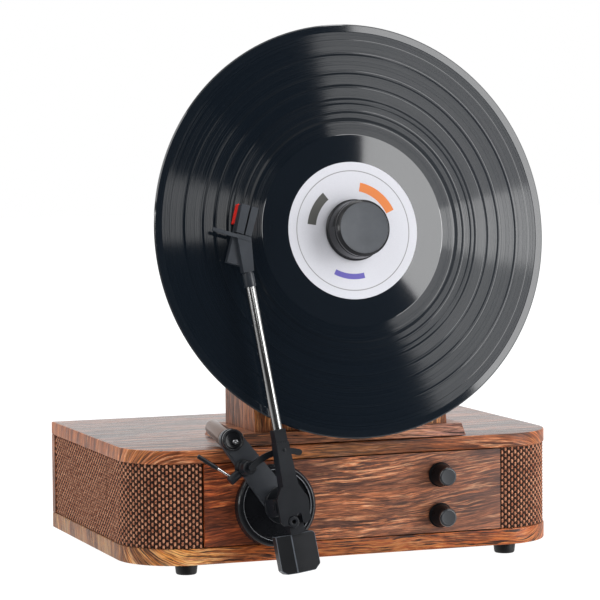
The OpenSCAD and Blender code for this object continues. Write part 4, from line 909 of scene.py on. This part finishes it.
def gimbal_yoke():
    """Round swivel foot with two round-topped cheeks that hold the arm's pins."""
    turned("yoke_foot", [(0.0, -11.7), (8.0, -11.7), (8.0, -8.4), (13.2, -8.4), (13.6, -7.8), (13.6, -5.8),
                         (13.0, -5.3), (0.0, -5.3)], ARM_BLACK, "gimbal_yoke", ARM, 0.4, 72)
    outline = [(5.8, -CHEEK_HALF), (-4.0, -CHEEK_HALF)] + arc((-8.2, 0.0), CHEEK_HALF, 270, 90) + [
        (-4.0, CHEEK_HALF), (5.8, CHEEK_HALF)]
    for side, name in ((-1, "left"), (1, "right")):
        middle = side * (CHEEK_IN + CHEEK_T / 2)
        cheek = solid((outline, middle - CHEEK_T / 2, middle + CHEEK_T / 2))
        moulded("yoke_cheek_" + name, cheek, 0.6, ARM_BLACK, "gimbal_yoke", along_x(ARM), 3, extra=True)


def arm_housing():
    """Angular cover plate over the pivot, with a notch for the link."""
    outline = [(-7.1, 14.0), (6.2, 14.0), (11.2, 3.2), (10.4, -11.8), (6.6, -14.2), (4.2, -13.4), (4.2, -7.0),
               (2.0, -6.2)]
    outline += arc(LINK_AT, 4.5, 62, 205) + [(-9.6, -13.6), (-12.0, -10.6), (-11.8, 6.2)]
    moulded("housing_cover", solid((outline, 15.2, 17.8)), 0.5, ARM_BLACK, "arm_housing", ARM, 1, ARM_EDGE_HIGHLIGHT)
    bm = solid(block((-BLOCK_HALF, -6.5, 3.0), (BLOCK_HALF, 6.5, 15.6)),
               block((-5.6, 5.8, 5.0), (5.6, 14.4, 15.6)))
    moulded("housing_block", bm, 0.7, ARM_BLACK, "arm_housing", ARM, extra=True)


def arm_sleeve():
    """Tapered sleeve that holds the tube, with a stepped neck and a small boss."""
    bm = solid(([(-5.8, 14.0), (5.8, 14.0), (4.7, 45.2), (-4.7, 45.2)], 7.2, 18.2),
               block((-4.3, 44.0, 7.6), (4.3, 54.5, 17.4)))
    moulded("arm_sleeve_skin", bm, 0.6, ARM_BLACK, "arm_sleeve", ARM, 1, ARM_EDGE_HIGHLIGHT)
    turned("sleeve_boss", [(0.0, 17.9), (1.3, 17.9), (1.2, 18.6), (0.0, 18.7)], ARM_BLACK, "arm_sleeve",
           shifted(ARM, 0.4, 39.6), 0.2, 24, extra=True)


def weight_link():
    """Flat link with the screw boss, from the housing to the counterweight."""
    bm = solid(block((-5.4, -20.6, 6.0), (5.4, -8.6, 14.9)))
    moulded("link_bar", bm, 0.6, ARM_BLACK, "weight_link", ARM)
    turned("link_boss", [(0.0, 13.2), (1.3, 13.2), (1.4, 17.2), (1.7, 17.6), (3.7, 17.6), (4.2, 17.1),
                         (4.2, 13.2), (0.0, 13.2)],
           ARM_BLACK, "weight_link", shifted(ARM, *LINK_AT), 0.2, 56, extra=True)


def counterweight():
    """Cast block with cut corners and one long slanting face."""
    outline = [(-13.5, -20.5), (11.6, -20.5), (13.5, -22.4), (13.5, -44.6), (9.2, -48.5), (-10.6, -48.5),
               (-13.5, -45.6)]
    bm = solid((outline, -4.0, 12.0))
    slice_off(bm, Vector((-4.6, 0, 12.0)) * MM, Vector((-8.2, 0, 8.9)))
    moulded("counterweight_skin", bm, 0.5, WEIGHT_IRON, "counterweight", ARM, 1, ARM_EDGE_HIGHLIGHT)


def headshell():
    """Two-bar head with a neck, a carrier plate, a collar and a finger lift."""
    bm = solid(([(-5.5, 0.2), (0.1, 0.2), (0.2, 21.2), (-6.2, 21.2)], 9.6, 15.6),
               ([(1.3, 0.2), (6.1, 0.2), (6.7, 21.2), (1.4, 21.2)], 9.6, 15.6),
               block((-6.2, -1.5, 8.2), (6.4, 20.8, 11.2)),
               block((-6.5, -22.0, 8.2), (6.5, -1.0, 13.6)))
    moulded("headshell_skin", bm, 0.3, HEAD_BLACK, "headshell", HEAD)
    bm = solid(block((-23.4, -3.7, 15.1), (6.0, -1.1, 16.7)))
    moulded("finger_lift", bm, 0.35, HEAD_BLACK, "headshell", HEAD, extra=True)
    bm = solid(([(-3.9, 168.3), (3.9, 168.3), (6.6, 192.4), (-3.6, 196.6)], 9.2, 16.2))
    moulded("head_neck", bm, 0.4, HEAD_BLACK, "headshell", ARM, extra=True)
    turned("head_collar", [
        (0.0, 157.6), (4.15, 157.6), (4.15, 167.5), (3.2, 167.5), (3.2, 168.8), (0.0, 168.8)],
        COLLAR_BLACK, "headshell", TUBE, 0.25, 48, extra=True)


def pickup():
    """Cartridge body with the red stylus holder in front of it."""
    bm = solid(block((-5.6, -11.0, 4.6), (5.6, 6.9, 8.2)))
    moulded("cartridge_skin", bm, 0.5, ARM_BLACK, "cartridge", HEAD)
    outline = [(-6.6, 7.1), (5.5, 7.1), (5.5, 19.8), (4.6, 20.9), (-5.4, 20.9), (-5.9, 21.6), (-6.6, 21.6)]
    moulded("stylus_holder", solid((outline, 2.2, 8.15)), 0.5, STYLUS_RED, "stylus", HEAD)
    turned("stylus_tip", [(0.0, 0.3), (0.2, 0.35), (0.9, 2.4), (0.0, 2.4)], STEEL, "stylus",
           shifted(HEAD, 0.0, 16.0), 0.0, 24, extra=True)


arm_base()
arm_bracket()
gimbal_yoke()
softened("gimbal_pins", 0.2, ARM_BLACK)
arm_housing()
arm_sleeve()
weight_link()
counterweight()
headshell()
pickup()
softened("lift_bar", 0.8, ARM_BLACK, 3)
turned("arm_tube_skin", ring_profile(*TUBE_SHAPE), TUBE_CHROME, "arm_tube", TUBE, 0.15)

POST_AT, POST_RISE, POST_L, POST_R, POST_TIP_R = (2.2, 59.4), 8.0, 39.0, 7.5, 5.6


def rest_post():
    """Chromed post behind the bracket's far end."""
    place = Matrix.Translation(shifted(BRACKET, *POST_AT, DISC_UP).translation) @ spin(POST_RISE - 90, "X")
    bm = bmesh.new()
    turn_profile(bm, fillet([
        (0.0, -4.0), (POST_R, -4.0), (POST_R - 0.2, 3.0), (POST_R - 0.9, 3.2), (POST_R - 0.9, 3.8),
        (POST_R - 0.3, 4.0), (POST_TIP_R, POST_L - 1.5), (POST_TIP_R - 1.5, POST_L), (0.0, POST_L)], 0.5), 64)
    back = place.inverted()
    slice_off(bm, back @ shifted(SWIVEL, z=DISC_UP).translation,
              back.to_3x3() @ (SWIVEL.to_3x3() @ Vector((0, 0, 1))))
    add_piece("rest_post_skin", bm, POST_CHROME_PAINTED_REFLECTION, "rest_post", place)


rest_post()

CUE_UP, CUE_OUT, CUE_TURN = 8.5, 15.5, 18.7
CUE_AXIS = shifted(BRACKET, 0.0, LIFTER[1], DISC_UP + CUE_UP)
CUE_ROD = along_y(shifted(CUE_AXIS, -CUE_OUT) @ spin(CUE_TURN, "Z"))
turned("cue_block", [(0.0, -19.0), (3.3, -19.0), (3.3, -10.0), (1.6, -10.0), (1.6, -8.6), (0.0, -8.6)],
       ARM_BLACK, "cue_lever", along_x(CUE_AXIS), 0.5, 48)
turned("cue_rod", [(0.0, 0.0), (0.9, 0.0), (0.9, 15.6), (0.0, 15.6)], CHROME, "cue_lever", CUE_ROD, 0.1, 32,
       extra=True)
turned("cue_grip", [(0.0, 13.8), (1.3, 13.8), (1.6, 14.7), (1.6, 30.4), (1.0, 31.1), (0.0, 31.1)], ARM_BLACK,
       "cue_lever", CUE_ROD, 0.3, 32, extra=True)


# ---------------- rear jacks and inner pieces

CROSS_HALF, CROSS_L, CROSS_DEPTH, CROSS_TAPER, SHANK_R, SHANK_L = 0.5, 1.8, 0.8, 0.7, 1.5, 15.0
HEAD_R, HEAD_T = 3.0, 1.4


def cross_screw(bm, place):
    """Adds a screw with a rounded head and a cross recess, with z out of its head, in millimetres."""
    turn_profile(bm, [(0.0, -SHANK_L), (SHANK_R, -SHANK_L), (SHANK_R, 0.0), (HEAD_R, 0.0),
                      (HEAD_R, 0.6 * HEAD_T), (HEAD_R - 0.2, 0.85 * HEAD_T), (HEAD_R - 0.7, HEAD_T)],
                 48, place)
    rim = [edge for edge in bm.edges if edge.is_boundary]
    arm = [(CROSS_L, -CROSS_HALF), (CROSS_L, CROSS_HALF), (CROSS_HALF, CROSS_HALF)]
    cross = []
    for _ in range(4):
        cross += arm
        arm = [(-y, x) for x, y in arm]
    upper, lower = ([bm.verts.new(place @ (Vector((x * share, y * share, z)) * MM)) for x, y in cross]
                    for share, z in ((1.0, HEAD_T), (CROSS_TAPER, HEAD_T - CROSS_DEPTH)))
    bm.faces.new(lower)
    for i, (here, under) in enumerate(zip(upper, lower)):
        bm.faces.new((here, upper[i - 1], lower[i - 1], under))
    mouth = [edge for edge in bm.edges if edge.is_boundary and edge not in rim]
    bmesh.ops.triangle_fill(bm, edges=rim + mouth)


def cover_screws():
    """Four screws of the tower's back."""
    (x0, _, z0), (x1, y, z1) = box_mm("cover_screws")
    bm = bmesh.new()
    for x in (x0 + HEAD_R, x1 - HEAD_R):
        for z in (z0 + HEAD_R, z1 - HEAD_R):
            cross_screw(bm, along_y(shifted(HERE, x, y - HEAD_T, z)))
    add_piece("cover_screws_skin", bm, STEEL, "cover_screws")


cover_screws()
softened("jack_plate", 0.5, JACK_BLACK)
softened("rca_jacks", 0.2, NICKEL)
softened("dc_inlet", 0.2, JACK_BLACK)

INNER = {
    FIBREBOARD: ("left_grille_frame", "right_grille_frame", "left_baffle", "right_baffle"),
    BASKET: ("left_speaker_basket", "right_speaker_basket"),
    PAPER_CONE: ("left_speaker_cone", "right_speaker_cone"),
    STEEL: ("speaker_screws", "foot_screws", "motor_screws", "arm_screws", "motor", "spindle",
            "volume_pot", "selector_switch"),
    BRASS: ("spindle_bearing", "motor_pulley"),
    RUBBER: ("drive_belt", "clamp_pad"),
    BOARD_GREEN: ("amp_board",),
}
for material, nodes in INNER.items():
    for node in nodes:
        slots = frame["nodes"][node].data.materials
        slots.clear()
        slots.append(material)


# ---------------- studio and camera

FLOOR_HALF = 6.0
AIM = Vector((0.0, -0.11, 0.245))
# Degrees right of the front and up, metres away, width and height in degrees, radiance, roll
LIGHTS = (
    ("key", 47.5, 13.5, 2.0, (36.0, 77.0), 3.9, 8.0),
    ("key_strip", 53.0, 8.5, 1.9, (20.0, 11.0), 5.6),
    ("glint", -9.5, 16.0, 1.8, (11.0, 11.0), 3.8),
    ("edge_glint", -74.0, 8.0, 1.8, (7.0, 14.0), 6.0),
    ("fill", -56.0, 36.0, 2.0, (34.0, 34.0), 1.7),
    ("overhead", 178.0, 66.0, 2.0, (40.0, 30.0), 3.5),
)
EYE = Vector((-749.87, -2025.21, 340.59)) * MM
EYE_RIGHT, EYE_UP = Vector((0.93771, -0.34732, -0.00790)), Vector((0.03191, 0.06346, 0.99747))
SENSOR_W, LENS = 36.0, 170.28


def floor():
    """Plain pale floor."""
    bm = bmesh.new()
    bmesh.ops.create_grid(bm, x_segments=1, y_segments=1, size=FLOOR_HALF)
    p = Paint("floor", Roughness=0.9, Emission_Color=WHITE, Emission_Strength=1.0)
    p.use(Base_Color=p.ramp(p.noise(p.coords(), 3.0), [(0.3, "5c5c5c"), (0.7, "606060")]))
    obj = new_object("floor", finish_mesh(bm, "floor"))
    obj.data.materials.append(p.material)
    obj.visible_glossy = False
    obj.visible_shadow = False


def softbox(name, azimuth, height, away, spread, radiance, roll=0.0):
    """Rectangular studio light that looks at the object's middle."""
    turn, rise = radians(azimuth), radians(height)
    data = bpy.data.lights.new(name, "AREA")
    data.shape = "RECTANGLE"
    data.size, data.size_y = (2 * away * tan(radians(angle / 2)) for angle in spread)
    data.energy = radiance * pi * data.size * data.size_y
    lamp = new_object(name, data)
    direction = Vector((sin(turn) * cos(rise), -cos(turn) * cos(rise), sin(rise)))
    lamp.location = AIM + away * direction
    lamp.rotation_euler = ((-direction).to_track_quat("-Z", "Y").to_matrix()
                           @ spin(roll, "Z").to_3x3()).to_euler()
    lamp.visible_camera = False


def studio():
    """White room behind and beside the object, dim in front, with soft lights."""
    world = bpy.data.worlds.new("studio")
    scene.world = world
    world.use_nodes = True
    room = Nodes(world.node_tree)
    depth = room.add("SeparateXYZ", {0: room.add("TexCoord", out="Generated")}, out="Y")
    tone = room.add("MapRange", {"Value": depth, "From Min": -0.6, "From Max": 0.2,
                                 "To Min": 0.03, "To Max": 1.0})
    shown = room.math("MAXIMUM", tone, room.add("LightPath", out="Is Camera Ray"))
    room.set(room.tree.nodes["Background"], {"Strength": shown, "Color": WHITE})
    for light in LIGHTS:
        softbox(*light)
    scene.view_settings.view_transform = "Standard"


def camera():
    """Camera of the photograph."""
    data = bpy.data.cameras.new("camera")
    data.sensor_width, data.lens = SENSOR_W, LENS
    place = Matrix((EYE_RIGHT, EYE_UP, EYE_RIGHT.cross(EYE_UP))).transposed().to_4x4()
    place.translation = EYE
    obj = new_object("camera", data)
    obj.matrix_world = place
    scene.camera = obj


floor()
studio()
camera()
